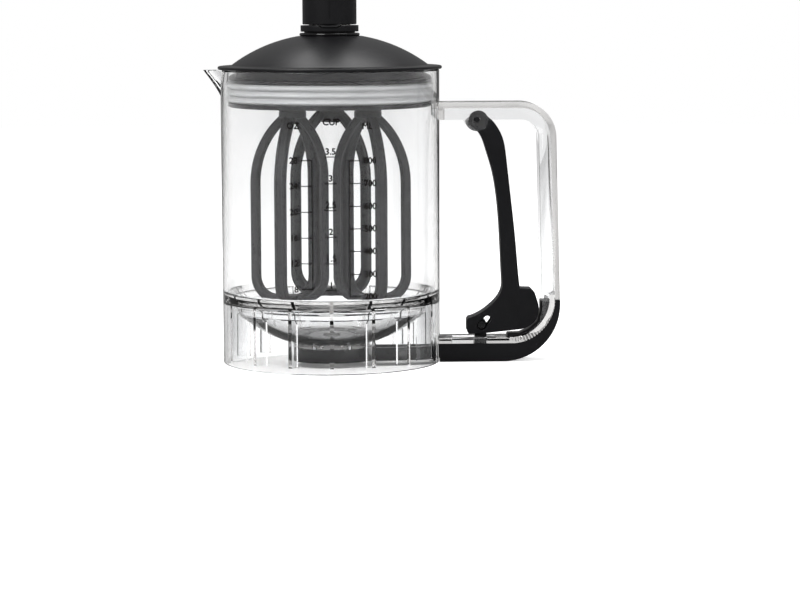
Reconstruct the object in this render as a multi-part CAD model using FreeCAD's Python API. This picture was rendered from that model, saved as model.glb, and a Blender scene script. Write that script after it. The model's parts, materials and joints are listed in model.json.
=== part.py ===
"""Batter dispenser: clear jar with squeeze valve, plug-in lid, push pump and three whisks.

Millimetres, +Z up. The origin is on the jar's axis, on the plane that the base ring stands on.
The spout points to -X and the handle to +X.
"""
import math
import os

import FreeCAD, Part
from FreeCAD import Vector as V

# Jar
jar_radius = 55.25
jar_wall = 2.25
jar_height = 148.4
skirt_wall = 2.0
step_top = 36.5
step_bottom = 30.0
bowl_inset = 4.7
bowl_top = 26.5
bowl_wall = 2.2
bowl_sag = -0.06
floor_height = 12.2
pad_margin = 0.2
bowl_foot_share = 0.6
rib_count = 16
rib_thickness = 1.8
rib_depth = 8.5
rib_foot = 3.0
rim_round = 0.6

# Pouring spout
spout_reach = 9.3
spout_drop = 12.8
spout_half_width = 9.5
spout_wall = 1.5
spout_slant = 1.6
spout_nose = 0.4
spout_trough_nose = 0.1
spout_foot_half = 1.6
spout_foot_taper = 0.6

# Valve and the rail that holds it
outlet_radius = 4.5
rail_height = 9.2
rail_width = 18.0
rail_wall = 2.7
rail_lift = 2.5
rail_floor = 1.6
cup_radius = 20.4
cup_wall = 2.0
channel_end_inset = 18.200303
rail_corner_radius = 29.0
slide_thickness = 2.0
slide_gap = 0.3
slide_end = 81.5
slide_end_wall = 2.0
valve_travel = 11.0
valve_overlap = 2.5
seal_radius = 12.0
seal_gap = 0.2
nozzle_wall = 0.9
nozzle_flange = 1.0
screw_radius = 1.3
screw_head_radius = 2.5
screw_head_height = 1.4
screw_circle = 16.3
screw_bite = 1.6

# Handle
handle_width = 18.0
handle_top = 131.8
handle_reach_top = 113.6
handle_reach_base = 117.0
handle_top_wall = 3.2
handle_wall = 2.8
flange_wall = 2.6
flange_depth = 8.8
handle_corner_radius = 18.0
handle_root = 2.4
opening_corner_radius = 15.0
rebate_top = 31.0
rebate_depth = 2.6
plate_thickness = 2.8
pivot_x = 73.8
pivot_z = 123.0
pivot_boss_radius = 5.8
pivot_pin_radius = 1.5
running_gap = 0.05
grip_rib_height = 1.4
grip_rib_width = 1.6

# Trigger lever
lever_width = 12.0
lever_head_radius = 4.2
lever_crown_angle = 105.0
heel_gap = 1.0
lever_wall = 2.2
fork_gap = 3.4
post_half_width = 3.0
post_x = 76.0
drive_pin_x = 76.4
drive_pin_z = 18.4
drive_pin_radius = 1.9
drive_slot_radius = 2.35
drive_slot_rise = 3.0
drive_slot_run = 2.9
drive_slot_steps = 4

# Corner insert
insert_length = 17.0
insert_inset = 9.600303
insert_drop = 0.5
insert_foot = 1.6

# Slide spring
spring_radius = 1.9
spring_wire = 0.6
spring_turns = 8

# Lid
lid_overhang = 1.35
lid_rim = 1.8
dome_foot_inset = 3.2
dome_foot_rise = 0.5
dome_mid_inset = 16.6
dome_mid_rise = 11.8
dome_top_radius = 16.0
dome_top_rise = 16.8
dome_wall = 2.0
dome_foot_wall = 1.0
neck_radius = 12.8
neck_height = 2.2
plug_gap = 5.5
plug_wall = 2.0
plug_flange_gap = 1.3
plug_floor_z = 131.8
plug_floor = 2.0
plug_foot = 2.1
seal_top_flange_z = 142.0
seal_top_flange = 1.6
lid_seal_gap = 0.3
lid_seal_core_gap = 2.4
lid_seal_ribs = 3
lid_seal_slope = 0.35
bush_boss_radius = 9.0
bush_boss_height = 5.2
bush_radius = 5.0
bush_flange_radius = 7.0
bush_flange = 1.0

# Push pump
ring_radius = 15.2
ring_height = 1.6
collar_radius = 14.85
collar_height = 3.2
collar_notch = 1.4
collar_chamfer = 0.4
collar_flat = 0.25
guide_radius = 10.5
guide_wall = 1.5
guide_cap_gap = 3.0
guide_flange_radius = 13.0
guide_flange = 1.9
sleeve_radius = 13.65
sleeve_bore = 11.0
sleeve_gap = 0.4
sleeve_length = 76.0
seam_width = 0.7
seam_depth = 0.4
key_half_top = 5.6
key_half_foot = 3.6
cap_radius = 18.5
cap_height = 15.0
cap_spigot = 4.0
cap_flat = 4.0
cap_edge_share = 0.45
cap_under_share = 0.93
cap_crown_share = 0.7
cap_crown_drop = 0.13
push_tube_radius = 5.6
push_tube_wall = 1.4
nut_radius = 8.8
nut_bottom = 164.5
nut_height = 6.5
nut_seat = 3.0
washer_radius = 6.5
washer_thickness = 1.0
washer_slot_gap = 0.35
spindle_width = 5.0
spindle_thickness = 1.6
spindle_lead = 50.0
spindle_headroom = 18.0
spindle_steps_per_turn = 24

# Whisk rotor
rotor_inset = 12.5
rotor_thickness = 2.0
rotor_gap = 0.4
shaft_radius = 3.0
shaft_top = 142.0
stub_radius = 2.0
stub_bottom = 135.0
clip_radius = 5.5
clip_thickness = 0.9
head_offset = 1.4
hub_radius = 6.9
hub_height = 5.4
hub_groove = 0.4
hub_groove_share = 0.4
peg_radius = 3.5
peg_height = 1.5
arm_width = 5.4
arm_thickness = 3.4
arm_chamfer = 0.9
arm_bend_z = 108.8
arm_bend_radius = 22.0
arm_foot_z = 33.0
arm_foot_radius = 11.0
arm_start_radius = 3.2
arm_start_z = 127.0
foot_disc_radius = 5.2
foot_disc_height = 4.0
arm_clearance = 2.2
inner_arm_step = 4.6

far = 400.0
overshoot = 1.0


def ring(outer, inner, bottom, height):
    """Plain tube on the jar's axis."""
    body = Part.makeCylinder(outer, height, V(0, 0, bottom))
    return body.cut(Part.makeCylinder(inner, height + 2 * overshoot, V(0, 0, bottom - overshoot)))


def box(x0, x1, half_y, z0, z1):
    """Box that is centred across the handle's plane."""
    return Part.makeBox(x1 - x0, 2 * half_y, z1 - z0, V(x0, -half_y, z0))


def rounded_edges(points, radii, closed=True):
    """Straight runs through (x, z) points, with a tangent arc at each point that has a radius."""
    count = len(points)
    nodes = [V(x, 0, z) for x, z in points]
    starts, ends, edges = [], [], []
    for i, node in enumerate(nodes):
        radius = radii[i]
        at_end = not closed and i in (0, count - 1)
        if radius == 0 or at_end:
            starts.append(node)
            ends.append(node)
            edges.append(None)
            continue
        to_last = (nodes[i - 1] - node).normalize()
        to_next = (nodes[(i + 1) % count] - node).normalize()
        half = to_last.getAngle(to_next) / 2
        reach = radius / math.tan(half)
        middle = (to_last + to_next).normalize()
        centre = node + middle * (radius / math.sin(half))
        first, last = node + to_last * reach, node + to_next * reach
        starts.append(first)
        ends.append(last)
        edges.append(Part.Arc(first, centre - middle * radius, last).toShape())
    out = []
    for i in range(count):
        if edges[i] is not None:
            out.append(edges[i])
        if closed or i < count - 1:
            a, b = ends[i], starts[(i + 1) % count]
            if (a - b).Length > 1e-6:
                out.append(Part.LineSegment(a, b).toShape())
    return out


def plate(points, radii, half_y):
    """Side outline in (x, z), extruded across the handle's plane."""
    face = Part.Face(Part.Wire(rounded_edges(points, radii)))
    face.translate(V(0, -half_y, 0))
    return face.extrude(V(0, 2 * half_y, 0))


def pin_y(x, z, radius, half_y):
    """Round bar across the handle's plane."""
    return Part.makeCylinder(radius, 2 * half_y, V(x, -half_y, z), V(0, 1, 0))


def turned(edges):
    """Solid of revolution about the jar's axis from edges in the XZ plane."""
    return Part.Face(Part.Wire(edges)).revolve(V(0, 0, 0), V(0, 0, 1), 360)


def turned_points(points, radii=None):
    """Solid of revolution from (r, z) points."""
    return turned(rounded_edges(points, radii or [0] * len(points)))


# Radii that follow from the jar's bore
bore = jar_radius - jar_wall
bowl_radius = bore - bowl_inset
pad_radius = cup_radius + pad_margin
lid_radius = jar_radius + lid_overhang
dome_foot_radius = bore - dome_foot_inset
dome_mid_radius = dome_foot_radius - dome_mid_inset
plug_radius = bore - plug_gap
plug_flange_radius = bore - plug_flange_gap
lid_seal_core = bore - lid_seal_core_gap
rotor_radius = plug_radius - rotor_inset
whisk_reach = bowl_radius - bowl_wall - arm_thickness / 2 - arm_clearance
outer_arm = (whisk_reach - head_offset) / 2
whisk_circle = whisk_reach - outer_arm
inner_arm = outer_arm - inner_arm_step

# Each arm's heading in degrees and its reach from the head's axis
front_head_arms = [(160.0, outer_arm), (253.0, outer_arm), (49.7, inner_arm), (10.3, inner_arm)]
back_head_arms = [(27.0, outer_arm), (153.0, outer_arm), (207.0, outer_arm), (333.0, outer_arm)]

# Heights that several pieces share
channel_floor = rail_lift + rail_floor
slide_bottom = channel_floor + slide_gap
slide_top = slide_bottom + slide_thickness
seal_bottom = slide_top + seal_gap
plate_top = rail_height + plate_thickness
handle_slope = (handle_reach_base - handle_reach_top) / handle_top
handle_edge_x = handle_reach_base - handle_slope * rebate_top
channel_end = handle_edge_x - channel_end_inset
channel_half = rail_width / 2 - rail_wall
flange_half = handle_width / 2 - flange_wall
rim_z = jar_height
dome_top_z = rim_z + dome_top_rise
neck_z = dome_top_z + neck_height
collar_top = neck_z + collar_height
sleeve_bottom = collar_top + sleeve_gap
sleeve_top = sleeve_bottom + sleeve_length
guide_top = sleeve_top - cap_spigot - guide_cap_gap
spindle_top = guide_top - spindle_headroom
rotor_top = plug_floor_z - rotor_gap
rotor_bottom = rotor_top - rotor_thickness
hub_top = rotor_bottom
trigger_angle = math.degrees(math.atan(valve_travel / (pivot_z - drive_pin_z)))


def bowl_profile(offset):
    """Bowl outline (r, z) lines and arc, inside for offset 0 and outside for the wall's thickness."""
    foot = pad_radius * bowl_foot_share if offset == 0 else pad_radius
    low = floor_height if offset == 0 else floor_height - plate_thickness + bowl_wall
    rim = bowl_radius - bowl_wall + offset
    start, end = V(rim, 0, bowl_top), V(foot, 0, low)
    chord = end - start
    sag = V(chord.z, 0, -chord.x).normalize() * (chord.Length * bowl_sag)
    return Part.Arc(start, (start + end) * 0.5 + sag, end).toShape(), start, end


def jar_cavity():
    """Everything inside the jar, used to cut the walls and to trim ribs and spout."""
    arc, start, end = bowl_profile(0)
    over = rim_z + overshoot
    ledge = V(bowl_radius - bowl_wall, 0, step_bottom)
    chain = [V(0, 0, over), V(bore, 0, over), V(bore, 0, step_top), ledge, start]
    edges = [Part.LineSegment(a, b).toShape() for a, b in zip(chain, chain[1:])]
    edges.append(arc)
    edges.append(Part.LineSegment(end, V(0, 0, end.z)).toShape())
    edges.append(Part.LineSegment(V(0, 0, end.z), V(0, 0, over)).toShape())
    return turned(edges)


def under_bowl():
    """The space under the bowl, inside the skirt."""
    arc, start, end = bowl_profile(bowl_wall)
    inner = jar_radius - skirt_wall
    low = -overshoot
    ledge = V(bowl_radius, 0, step_bottom - bowl_wall / 2)
    chain = [V(inner, 0, low), V(inner, 0, step_top - bowl_wall), ledge, start]
    edges = [Part.LineSegment(a, b).toShape() for a, b in zip(chain, chain[1:])]
    edges.append(arc)
    tail = [end, V(end.x, 0, rail_height), V(0, 0, rail_height), V(0, 0, low), V(inner, 0, low)]
    edges += [Part.LineSegment(a, b).toShape() for a, b in zip(tail, tail[1:])]
    return turned(edges)


def spout_form(inset):
    """Beak that widens towards the rim, made smaller by an inset for its trough."""
    nose = spout_trough_nose if inset else spout_nose

    def level(z, reach, half):
        tip = -(jar_radius + reach - inset * spout_slant)
        points = [V(-bore, half, z), V(tip, nose, z), V(tip, -nose, z), V(-bore, -half, z)]
        return Part.makePolygon(points + points[:1])

    top = rim_z + (overshoot if inset else 0)
    low = rim_z - spout_drop + inset * spout_slant
    foot = level(low, spout_nose, spout_foot_half - inset * spout_foot_taper)
    return Part.makeLoft([foot, level(top, spout_reach, spout_half_width - inset)], True, True)


def make_jar():
    """Clear jar: stepped bowl, skirt, gussets and pouring spout."""
    cavity = jar_cavity()
    jar = Part.makeCylinder(jar_radius, rim_z)
    jar = jar.cut(under_bowl())
    rib_outer = jar_radius - skirt_wall / 2
    for i in range(rib_count):
        corner = V(rib_outer - rib_depth, -rib_thickness / 2, rib_foot)
        gusset = Part.makeBox(rib_depth, rib_thickness, step_top - rib_foot, corner)
        gusset.rotate(V(0, 0, 0), V(0, 0, 1), 360.0 * i / rib_count)
        jar = jar.fuse(gusset)
    jar = jar.fuse(spout_form(0))
    jar = jar.cut(cavity)
    jar = jar.cut(spout_form(spout_wall))
    jar = jar.cut(Part.makeCylinder(outlet_radius, floor_height + overshoot))
    jar = jar.cut(box(0, far, rail_width / 2 + running_gap, -overshoot, rail_height))
    for x, y in screw_places():
        jar = jar.cut(Part.makeCylinder(screw_radius, rail_height + screw_bite, V(x, y, 0)))
    return jar


def screw_places():
    """Four screws on a circle round the outlet, clear of the slide's channel."""
    angles = [math.radians(a) for a in (60, 120, 240, 300)]
    return [(screw_circle * math.cos(a), screw_circle * math.sin(a)) for a in angles]


def handle_outline():
    """Outer side outline of the clear handle, with the rebate that takes the rail's corner."""
    edge_x = handle_edge_x
    corner = rail_corner_radius - rail_height + rebate_depth
    points = [(bore, handle_top), (handle_reach_top, handle_top), (edge_x, rebate_top),
              (edge_x - rebate_depth, rebate_top), (edge_x - rebate_depth, rail_height), (bore, rail_height)]
    return points, [0, handle_corner_radius, 0, 0, corner, 0]


def finger_opening(margin, half_y, root):
    """Space inside the handle; margin is the wall that stays at the top and the grip."""
    top = handle_top - margin[0]
    grip = margin[1]
    top_x = handle_reach_top - grip + handle_slope * margin[0]
    low_x = handle_edge_x - rebate_depth * (grip <= handle_wall) - grip
    step_x = handle_edge_x - grip
    corner = max(rail_corner_radius - rail_height + rebate_depth - handle_wall, 1)
    points = [(root, top), (top_x, top), (step_x, rebate_top + handle_wall), (low_x, rebate_top + handle_wall),
              (low_x, plate_top), (root, plate_top)]
    radii = [0, max(handle_corner_radius - grip, 1), 0, 0, corner, 0]
    if grip > handle_wall:
        points = [(root, top), (top_x, top), (step_x, plate_top), (root, plate_top)]
        radii = [0, max(handle_corner_radius - grip, 1), opening_corner_radius, 0]
    return plate(points, radii, half_y)


def make_handle_frame():
    """Clear channel handle: outer wall with side flanges, bottom plate and pivot bosses."""
    points, radii = handle_outline()
    body = plate(points, radii, handle_width / 2)
    body = body.cut(finger_opening((flange_depth, flange_depth), handle_width, bore - overshoot))
    for side in (-1, 1):
        foot = V(pivot_x, side * handle_width / 2, pivot_z)
        boss = Part.makeCylinder(pivot_boss_radius, flange_wall, foot, V(0, -side, 0))
        body = body.fuse(boss)
    body = body.cut(finger_opening((handle_top_wall, handle_wall), flange_half, jar_radius + handle_root))
    rib_x = handle_reach_base - handle_wall - grip_rib_height
    for side in (-1, 0, 1):
        corner = V(rib_x, side * channel_half / 2 - grip_rib_width / 2, handle_top / 3)
        rib = Part.makeBox(grip_rib_height * 4, grip_rib_width, handle_top / 2, corner)
        body = body.fuse(rib.common(plate(points, radii, handle_width / 2)))
    body = body.cut(Part.makeCylinder(jar_radius, far, V(0, 0, -overshoot)))
    body = body.cut(pin_y(pivot_x, pivot_z, pivot_pin_radius, handle_width))
    slot_from = post_x - post_half_width - valve_travel - slide_gap
    slot_to = post_x + post_half_width + slide_gap
    body = body.cut(box(slot_from, slot_to, fork_gap, rail_height - overshoot, plate_top + overshoot))
    return body.removeSplitter()


def make_base_rail():
    """Black rail: round valve cup, slide channel and the tapering corner that wraps the handle."""
    edge_x = handle_edge_x
    corner = rail_corner_radius - rail_height + rebate_depth
    inner_x = edge_x - rebate_depth
    points = [(0, 0), (edge_x, 0), (edge_x, rebate_top), (inner_x, rebate_top), (inner_x, rail_height),
              (0, rail_height)]
    rail = plate(points, [0, rail_corner_radius, 0, 0, corner, 0], rail_width / 2)
    rail = rail.cut(Part.makeCylinder(jar_radius + slide_gap, rail_lift, V(0, 0, 0)))
    cup = Part.makeCylinder(cup_radius, rail_height - rail_lift, V(0, 0, rail_lift))
    rail = rail.fuse(cup)
    rail = rail.cut(box(-cup_radius + cup_wall, channel_end, channel_half, channel_floor, rail_height + overshoot))
    rail = rail.cut(Part.makeCylinder(seal_radius + running_gap, rail_height, V(0, 0, seal_bottom)))
    rail = rail.cut(Part.makeCylinder(outlet_radius + nozzle_wall, rail_height, V(0, 0, 0)))
    pocket_x = jar_radius + rail_wall
    rail = rail.cut(box(pocket_x, channel_end - cup_radius / 2, channel_half, -overshoot, rail_lift))
    for x, y in screw_places():
        rail = rail.cut(Part.makeCylinder(screw_radius, rail_height, V(x, y, 0)))
        rail = rail.cut(Part.makeCylinder(screw_head_radius, screw_head_height, V(x, y, rail_lift)))
    return rail.removeSplitter()


def make_rail_screws():
    """Four screws that hold the rail's cup under the jar's pad."""
    screws = []
    for x, y in screw_places():
        head = Part.makeCylinder(screw_head_radius, screw_head_height, V(x, y, rail_lift))
        shank = Part.makeCylinder(screw_radius, rail_height + screw_bite - rail_lift, V(x, y, rail_lift))
        drive = Part.makeCylinder(screw_radius, screw_head_height / 2, V(x, y, rail_lift), V(0, 0, 1))
        screws.append(head.fuse(shank).cut(drive).removeSplitter())
    return Part.makeCompound(screws)


def make_valve_slide():
    """Slide plate with its outlet hole, the upright post and the spring's end wall."""
    back = -(outlet_radius + valve_overlap)
    plate_end = slide_end - slide_end_wall
    body = box(back, plate_end, channel_half - slide_gap, slide_bottom, slide_top)
    body = body.cut(Part.makeCylinder(outlet_radius, rail_height))
    post_from, post_to = post_x - post_half_width, post_x + post_half_width
    body = body.fuse(box(post_from, post_to, post_half_width, slide_bottom, drive_pin_z))
    body = body.fuse(pin_y(post_x, drive_pin_z, post_half_width, post_half_width))
    body = body.fuse(box(plate_end, slide_end, post_half_width, slide_bottom, rail_height - slide_gap))
    body = body.cut(pin_y(drive_pin_x, drive_pin_z, drive_pin_radius, rail_width))
    return body.removeSplitter()


def make_drive_pin():
    """Pin through the slide's post, which rides in the lever's slots."""
    return pin_y(drive_pin_x, drive_pin_z, drive_pin_radius, lever_width / 2)


def make_valve_seal():
    """Silicone ring between the jar's floor and the slide."""
    return ring(seal_radius, outlet_radius, seal_bottom, rail_height - seal_bottom)


def make_outlet_nozzle():
    """Flanged bush that lines the outlet under the slide."""
    foot = rail_lift - nozzle_flange
    tube = ring(outlet_radius + nozzle_wall, outlet_radius, foot, channel_floor - foot)
    flange = ring(outlet_radius + 3 * nozzle_wall, outlet_radius, foot, nozzle_flange)
    return tube.fuse(flange).removeSplitter()


def make_slide_spring():
    """Coil spring between the slide and the rail's end, as one tube."""
    length = channel_end - slide_end - spring_wire - slide_gap
    pitch = length / spring_turns
    coil = Part.makeHelix(pitch, length, spring_radius)
    start = coil.Vertexes[0].Point
    wire = Part.Wire(Part.makeCircle(spring_wire / 2, start, V(0, spring_radius, pitch / (2 * math.pi))))
    tube = Part.Wire(coil.Edges).makePipeShell([wire], True, True)
    tube.rotate(V(0, 0, 0), V(0, 1, 0), 90)
    tube.translate(V(slide_end + (spring_wire + slide_gap) / 2, 0, (channel_floor + rail_height) / 2))
    print("spring gap between turns", round(pitch - spring_wire, 2))
    return tube


def lever_side():
    """Side outline of the trigger lever."""
    front = [(70.4, 120.4), (73.6, 117.8), (76.6, 113.6), (78.6, 108.0), (81.6, 98.0), (84.0, 85.0), (85.4, 70.0),
             (86.3, 52.0), (86.9, 40.0), (85.1, 33.0), (81.0, 28.4), (76.0, 24.6), (69.6, 21.9), (68.8, 20.7),
             (68.9, 15.2), (69.8, 13.8)]
    rear = handle_edge_x - insert_inset - heel_gap
    bottom = [(79.1, 14.2), (rear - 10.3, 15.9), (rear - 4.6, 17.8)]
    heel = [(rear - 1.6, 20.6), (rear, 25.5), (rear - 0.6, 30.0), (rear - 2.1, 34.7), (rear - 4.0, 36.7),
            (rear - 9.7, 36.9)]
    back = [(94.9, 46.0), (93.9, 58.0), (92.2, 75.0), (90.2, 92.0), (88.9, 104.0), (87.0, 114.0), (83.7, 120.2),
            (79.2, 125.0)]
    start_head, end_head = back[-1], front[0]

    def line(points):
        return [Part.LineSegment(V(a[0], 0, a[1]), V(b[0], 0, b[1])).toShape() for a, b in zip(points, points[1:])]

    def smooth(points):
        curve = Part.BSplineCurve()
        curve.interpolate([V(x, 0, z) for x, z in points])
        return [curve.toShape()]

    crown = math.radians(lever_crown_angle)
    top = V(pivot_x + lever_head_radius * math.cos(crown), 0, pivot_z + lever_head_radius * math.sin(crown))
    head = Part.Arc(V(start_head[0], 0, start_head[1]), top, V(end_head[0], 0, end_head[1])).toShape()
    edges = smooth(front[:9]) + smooth(front[8:13]) + line(front[12:] + bottom[:2]) + smooth(bottom[1:] + heel[:4])
    edges += line([heel[3], heel[4], heel[5]]) + smooth([heel[5]] + back) + [head]
    return Part.Wire(edges)


def make_trigger_lever():
    """Moulded lever with a hollow back, a forked toe and slanted slots for the drive pin."""
    half = lever_width / 2
    face = Part.Face(lever_side())
    face.translate(V(0, -half, 0))
    body = face.extrude(V(0, 2 * half, 0))
    hollow = plate([(83.5, 113.0), (91.0, 113.0), (97.5, 45.0), (97.5, 42.0), (89.4, 42.0), (88.2, 60.0),
                    (86.0, 90.0)], [2, 0, 0, 0, 2, 0, 0], half - lever_wall)
    body = body.cut(hollow)
    fork = plate([(66.0, 12.0), (84.5, 12.0), (84.5, 22.5), (81.5, 24.6), (77.0, 23.2), (71.5, 20.2), (66.0, 19.4)],
                 [0] * 7, fork_gap)
    body = body.cut(fork)
    for step in range(drive_slot_steps):
        share = step / (drive_slot_steps - 1)
        x = drive_pin_x + drive_slot_run * share
        z = drive_pin_z - slide_gap + drive_slot_rise * share
        body = body.cut(pin_y(x, z, drive_slot_radius - share * (drive_slot_radius - drive_pin_radius), lever_width))
    return body.cut(pin_y(pivot_x, pivot_z, pivot_pin_radius + running_gap, lever_width)).removeSplitter()


def make_trigger_pin():
    """Hinge pin held in both handle flanges."""
    return pin_y(pivot_x, pivot_z, pivot_pin_radius, handle_width / 2)


def make_corner_insert():
    """Black stop in the handle's lower corner, which the lever's heel meets."""
    half = flange_half - running_gap
    stop = handle_edge_x - insert_inset
    start = stop - insert_length
    top, foot = rebate_top - insert_drop, plate_top + insert_foot
    outline = [(start, plate_top), (far, plate_top), (far, top), (stop, top), (stop, top - 5.5),
               (stop - 1.7, top - 11.1), (stop - 6.2, top - 14.9), (stop - 10.8, foot), (start, foot)]
    body = plate(outline, [0, 0, 0, 0.6, 6, 3, 4, 0, 0.7], half)
    return body.common(finger_opening((handle_top_wall, handle_wall), far, jar_radius + handle_root))


def make_lid_dome():
    """Lid's outer shell: flat rim, dome and neck."""
    under = dome_wall
    rim_top = rim_z + lid_rim
    top = [V(lid_radius, 0, rim_z), V(lid_radius, 0, rim_top), V(dome_foot_radius, 0, rim_top + dome_foot_rise)]
    dome_mid, dome_end = V(dome_mid_radius, 0, rim_z + dome_mid_rise), V(dome_top_radius, 0, dome_top_z)
    neck = [dome_end, V(neck_radius, 0, dome_top_z), V(neck_radius, 0, neck_z), V(guide_radius, 0, neck_z),
            V(guide_radius, 0, dome_top_z - under), V(dome_top_radius, 0, dome_top_z - under)]
    low_mid = V(dome_mid_radius - under / 2, 0, rim_z + dome_mid_rise - under)
    low_end = V(plug_radius - plug_wall, 0, rim_z + dome_foot_wall)
    edges = [Part.LineSegment(a, b).toShape() for a, b in zip(top, top[1:])]
    edges.append(Part.Arc(top[-1], dome_mid, dome_end).toShape())
    edges += [Part.LineSegment(a, b).toShape() for a, b in zip(neck, neck[1:])]
    edges.append(Part.Arc(neck[-1], low_mid, low_end).toShape())
    low = [low_end, V(low_end.x, 0, rim_z), V(lid_radius, 0, rim_z)]
    edges += [Part.LineSegment(a, b).toShape() for a, b in zip(low, low[1:])]
    dome = turned(edges)
    rims = [e for e in dome.Edges if abs(e.Vertexes[0].Point.z - rim_z) < lid_rim + 0.1
            and abs(math.hypot(e.Vertexes[0].Point.x, e.Vertexes[0].Point.y) - lid_radius) < 0.01
            and e.Curve.TypeId == "Part::GeomCircle"]
    return dome.makeFillet(rim_round, rims)


def make_lid_plug():
    """Plug under the lid: wall, seal flanges, floor and bush boss."""
    wall_in = plug_radius - plug_wall
    floor_top = plug_floor_z + plug_floor
    foot = plug_floor_z - plug_foot
    top_flange = seal_top_flange_z + seal_top_flange
    boss_top = floor_top + bush_boss_height
    points = [(rotor_radius + 2 * rotor_gap, foot), (plug_flange_radius, foot), (plug_flange_radius, foot + plug_foot),
              (plug_radius, foot + plug_foot), (plug_radius, seal_top_flange_z), (plug_flange_radius, seal_top_flange_z),
              (plug_flange_radius, top_flange), (plug_radius, top_flange), (plug_radius, rim_z), (wall_in, rim_z),
              (wall_in, floor_top), (bush_boss_radius, floor_top), (bush_boss_radius, boss_top),
              (bush_radius, boss_top), (bush_radius, plug_floor_z), (rotor_radius + 2 * rotor_gap, plug_floor_z)]
    return turned_points(points)


def make_lid_seal():
    """Silicone sleeve round the plug, with raised ribs that meet the jar's wall."""
    low, high = plug_floor_z, seal_top_flange_z
    rib_radius = bore - lid_seal_gap
    spacing = (high - low) / lid_seal_ribs
    points = [(plug_radius, high), (plug_radius, low)]
    for i in range(lid_seal_ribs):
        base = low + i * spacing
        rib_from, rib_to = base + spacing * lid_seal_slope, base + spacing * (1 - lid_seal_slope)
        points += [(lid_seal_core, base), (rib_radius, rib_from), (rib_radius, rib_to),
                   (lid_seal_core, base + spacing)]
    kept = [p for i, p in enumerate(points) if i == 0 or p != points[i - 1]]
    return turned_points(kept)


def make_neck_ring():
    """Bead ring at the foot of the pump."""
    half = ring_height / 2
    inner = neck_radius + running_gap
    low, high = dome_top_z, dome_top_z + ring_height
    inner_low, outer_low = V(inner, 0, low), V(ring_radius - half, 0, low)
    inner_high, outer_high = V(inner, 0, high), V(ring_radius - half, 0, high)
    edges = [Part.LineSegment(inner_low, outer_low).toShape(),
             Part.Arc(outer_low, V(ring_radius, 0, low + half), outer_high).toShape(),
             Part.LineSegment(outer_high, inner_high).toShape(), Part.LineSegment(inner_high, inner_low).toShape()]
    return turned(edges)


def tab_outline(grow, top, drop):
    """Trapezoid key at the front of the collar and the sleeve."""
    wide, narrow = key_half_top + grow, key_half_foot + grow
    front = -collar_radius - overshoot
    points = [V(-wide, front, top), V(wide, front, top), V(narrow, front, top - drop), V(-narrow, front, top - drop)]
    depth = collar_radius - sleeve_bore + overshoot + grow
    return Part.Face(Part.makePolygon(points + points[:1])).extrude(V(0, depth, 0))


def make_lock_collar():
    """Collar with flats at its sides and a notch for the sleeve's key."""
    edge = collar_chamfer
    collar = turned_points([(guide_radius, neck_z), (collar_radius - edge, neck_z), (collar_radius, neck_z + edge),
                            (collar_radius, collar_top - edge), (collar_radius - edge, collar_top),
                            (guide_radius, collar_top)])
    half = collar_radius - collar_flat
    collar = collar.common(Part.makeBox(2 * half, 2 * collar_radius, collar_height, V(-half, -collar_radius, neck_z)))
    return collar.cut(tab_outline(slide_gap, collar_top + overshoot, collar_notch + overshoot))


def make_guide_tube():
    """Fixed tube that the sleeve slides on, with its flange under the dome."""
    flange_z = dome_top_z - dome_wall - guide_flange
    tube = ring(guide_radius, guide_radius - guide_wall, flange_z, guide_top - flange_z)
    return tube.fuse(ring(guide_flange_radius, guide_radius - guide_wall, flange_z, guide_flange)).removeSplitter()


def make_pump_sleeve():
    """Sliding sleeve with a seam at the front and a key at its foot."""
    sleeve = ring(sleeve_radius, sleeve_bore, sleeve_bottom, sleeve_length)
    key = tab_outline(0, sleeve_bottom + overshoot, collar_notch + overshoot - slide_gap)
    key = key.common(ring(sleeve_radius, sleeve_bore, neck_z, sleeve_length))
    sleeve = sleeve.fuse(key)
    corner = V(-seam_width / 2, -sleeve_radius - seam_depth, sleeve_bottom + collar_height)
    seam = Part.makeBox(seam_width, 2 * seam_depth, sleeve_length + overshoot, corner)
    return sleeve.cut(seam).removeSplitter()


def make_pump_cap():
    """Palm cap with the spigot that closes the sleeve."""
    edge = cap_height * cap_edge_share
    top, foot = sleeve_top + cap_height, sleeve_top - cap_spigot
    chain = [V(cap_flat, 0, top), V(0, 0, top), V(0, 0, foot), V(sleeve_bore, 0, foot), V(sleeve_bore, 0, sleeve_top),
             V(sleeve_radius, 0, sleeve_top)]
    under = V(cap_radius * cap_under_share, 0, sleeve_top + edge * cap_edge_share)
    crown = V(cap_radius * cap_crown_share, 0, top - cap_height * cap_crown_drop)
    widest = V(cap_radius, 0, sleeve_top + edge)
    edges = [Part.LineSegment(a, b).toShape() for a, b in zip(chain, chain[1:])]
    edges.append(Part.Arc(chain[-1], under, widest).toShape())
    edges.append(Part.Arc(widest, crown, chain[0]).toShape())
    return turned(edges)


def make_push_tube():
    """Tube that hangs from the cap and carries the drive nut."""
    start = nut_bottom + nut_height - nut_seat
    return ring(push_tube_radius, push_tube_radius - push_tube_wall, start, sleeve_top - cap_spigot - start)


def make_drive_nut():
    """Nut that slides in the guide tube on the twisted spindle."""
    nut = ring(nut_radius, spindle_width / 2 + washer_slot_gap, nut_bottom, nut_height)
    return nut.cut(Part.makeCylinder(push_tube_radius, nut_height, V(0, 0, nut_bottom + nut_height - nut_seat)))


def make_drive_washer():
    """Steel washer whose slot follows the twisted spindle."""
    washer = Part.makeCylinder(washer_radius, washer_thickness, V(0, 0, nut_bottom - washer_thickness))
    long, wide = spindle_width + 2 * washer_slot_gap, spindle_thickness + 2 * washer_slot_gap
    slot = Part.makeBox(long, wide, nut_height, V(-long / 2, -wide / 2, nut_bottom - nut_height / 2))
    middle = nut_bottom - washer_thickness / 2
    slot.rotate(V(0, 0, 0), V(0, 0, 1), spindle_angle(middle))
    return washer.cut(slot)


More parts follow.
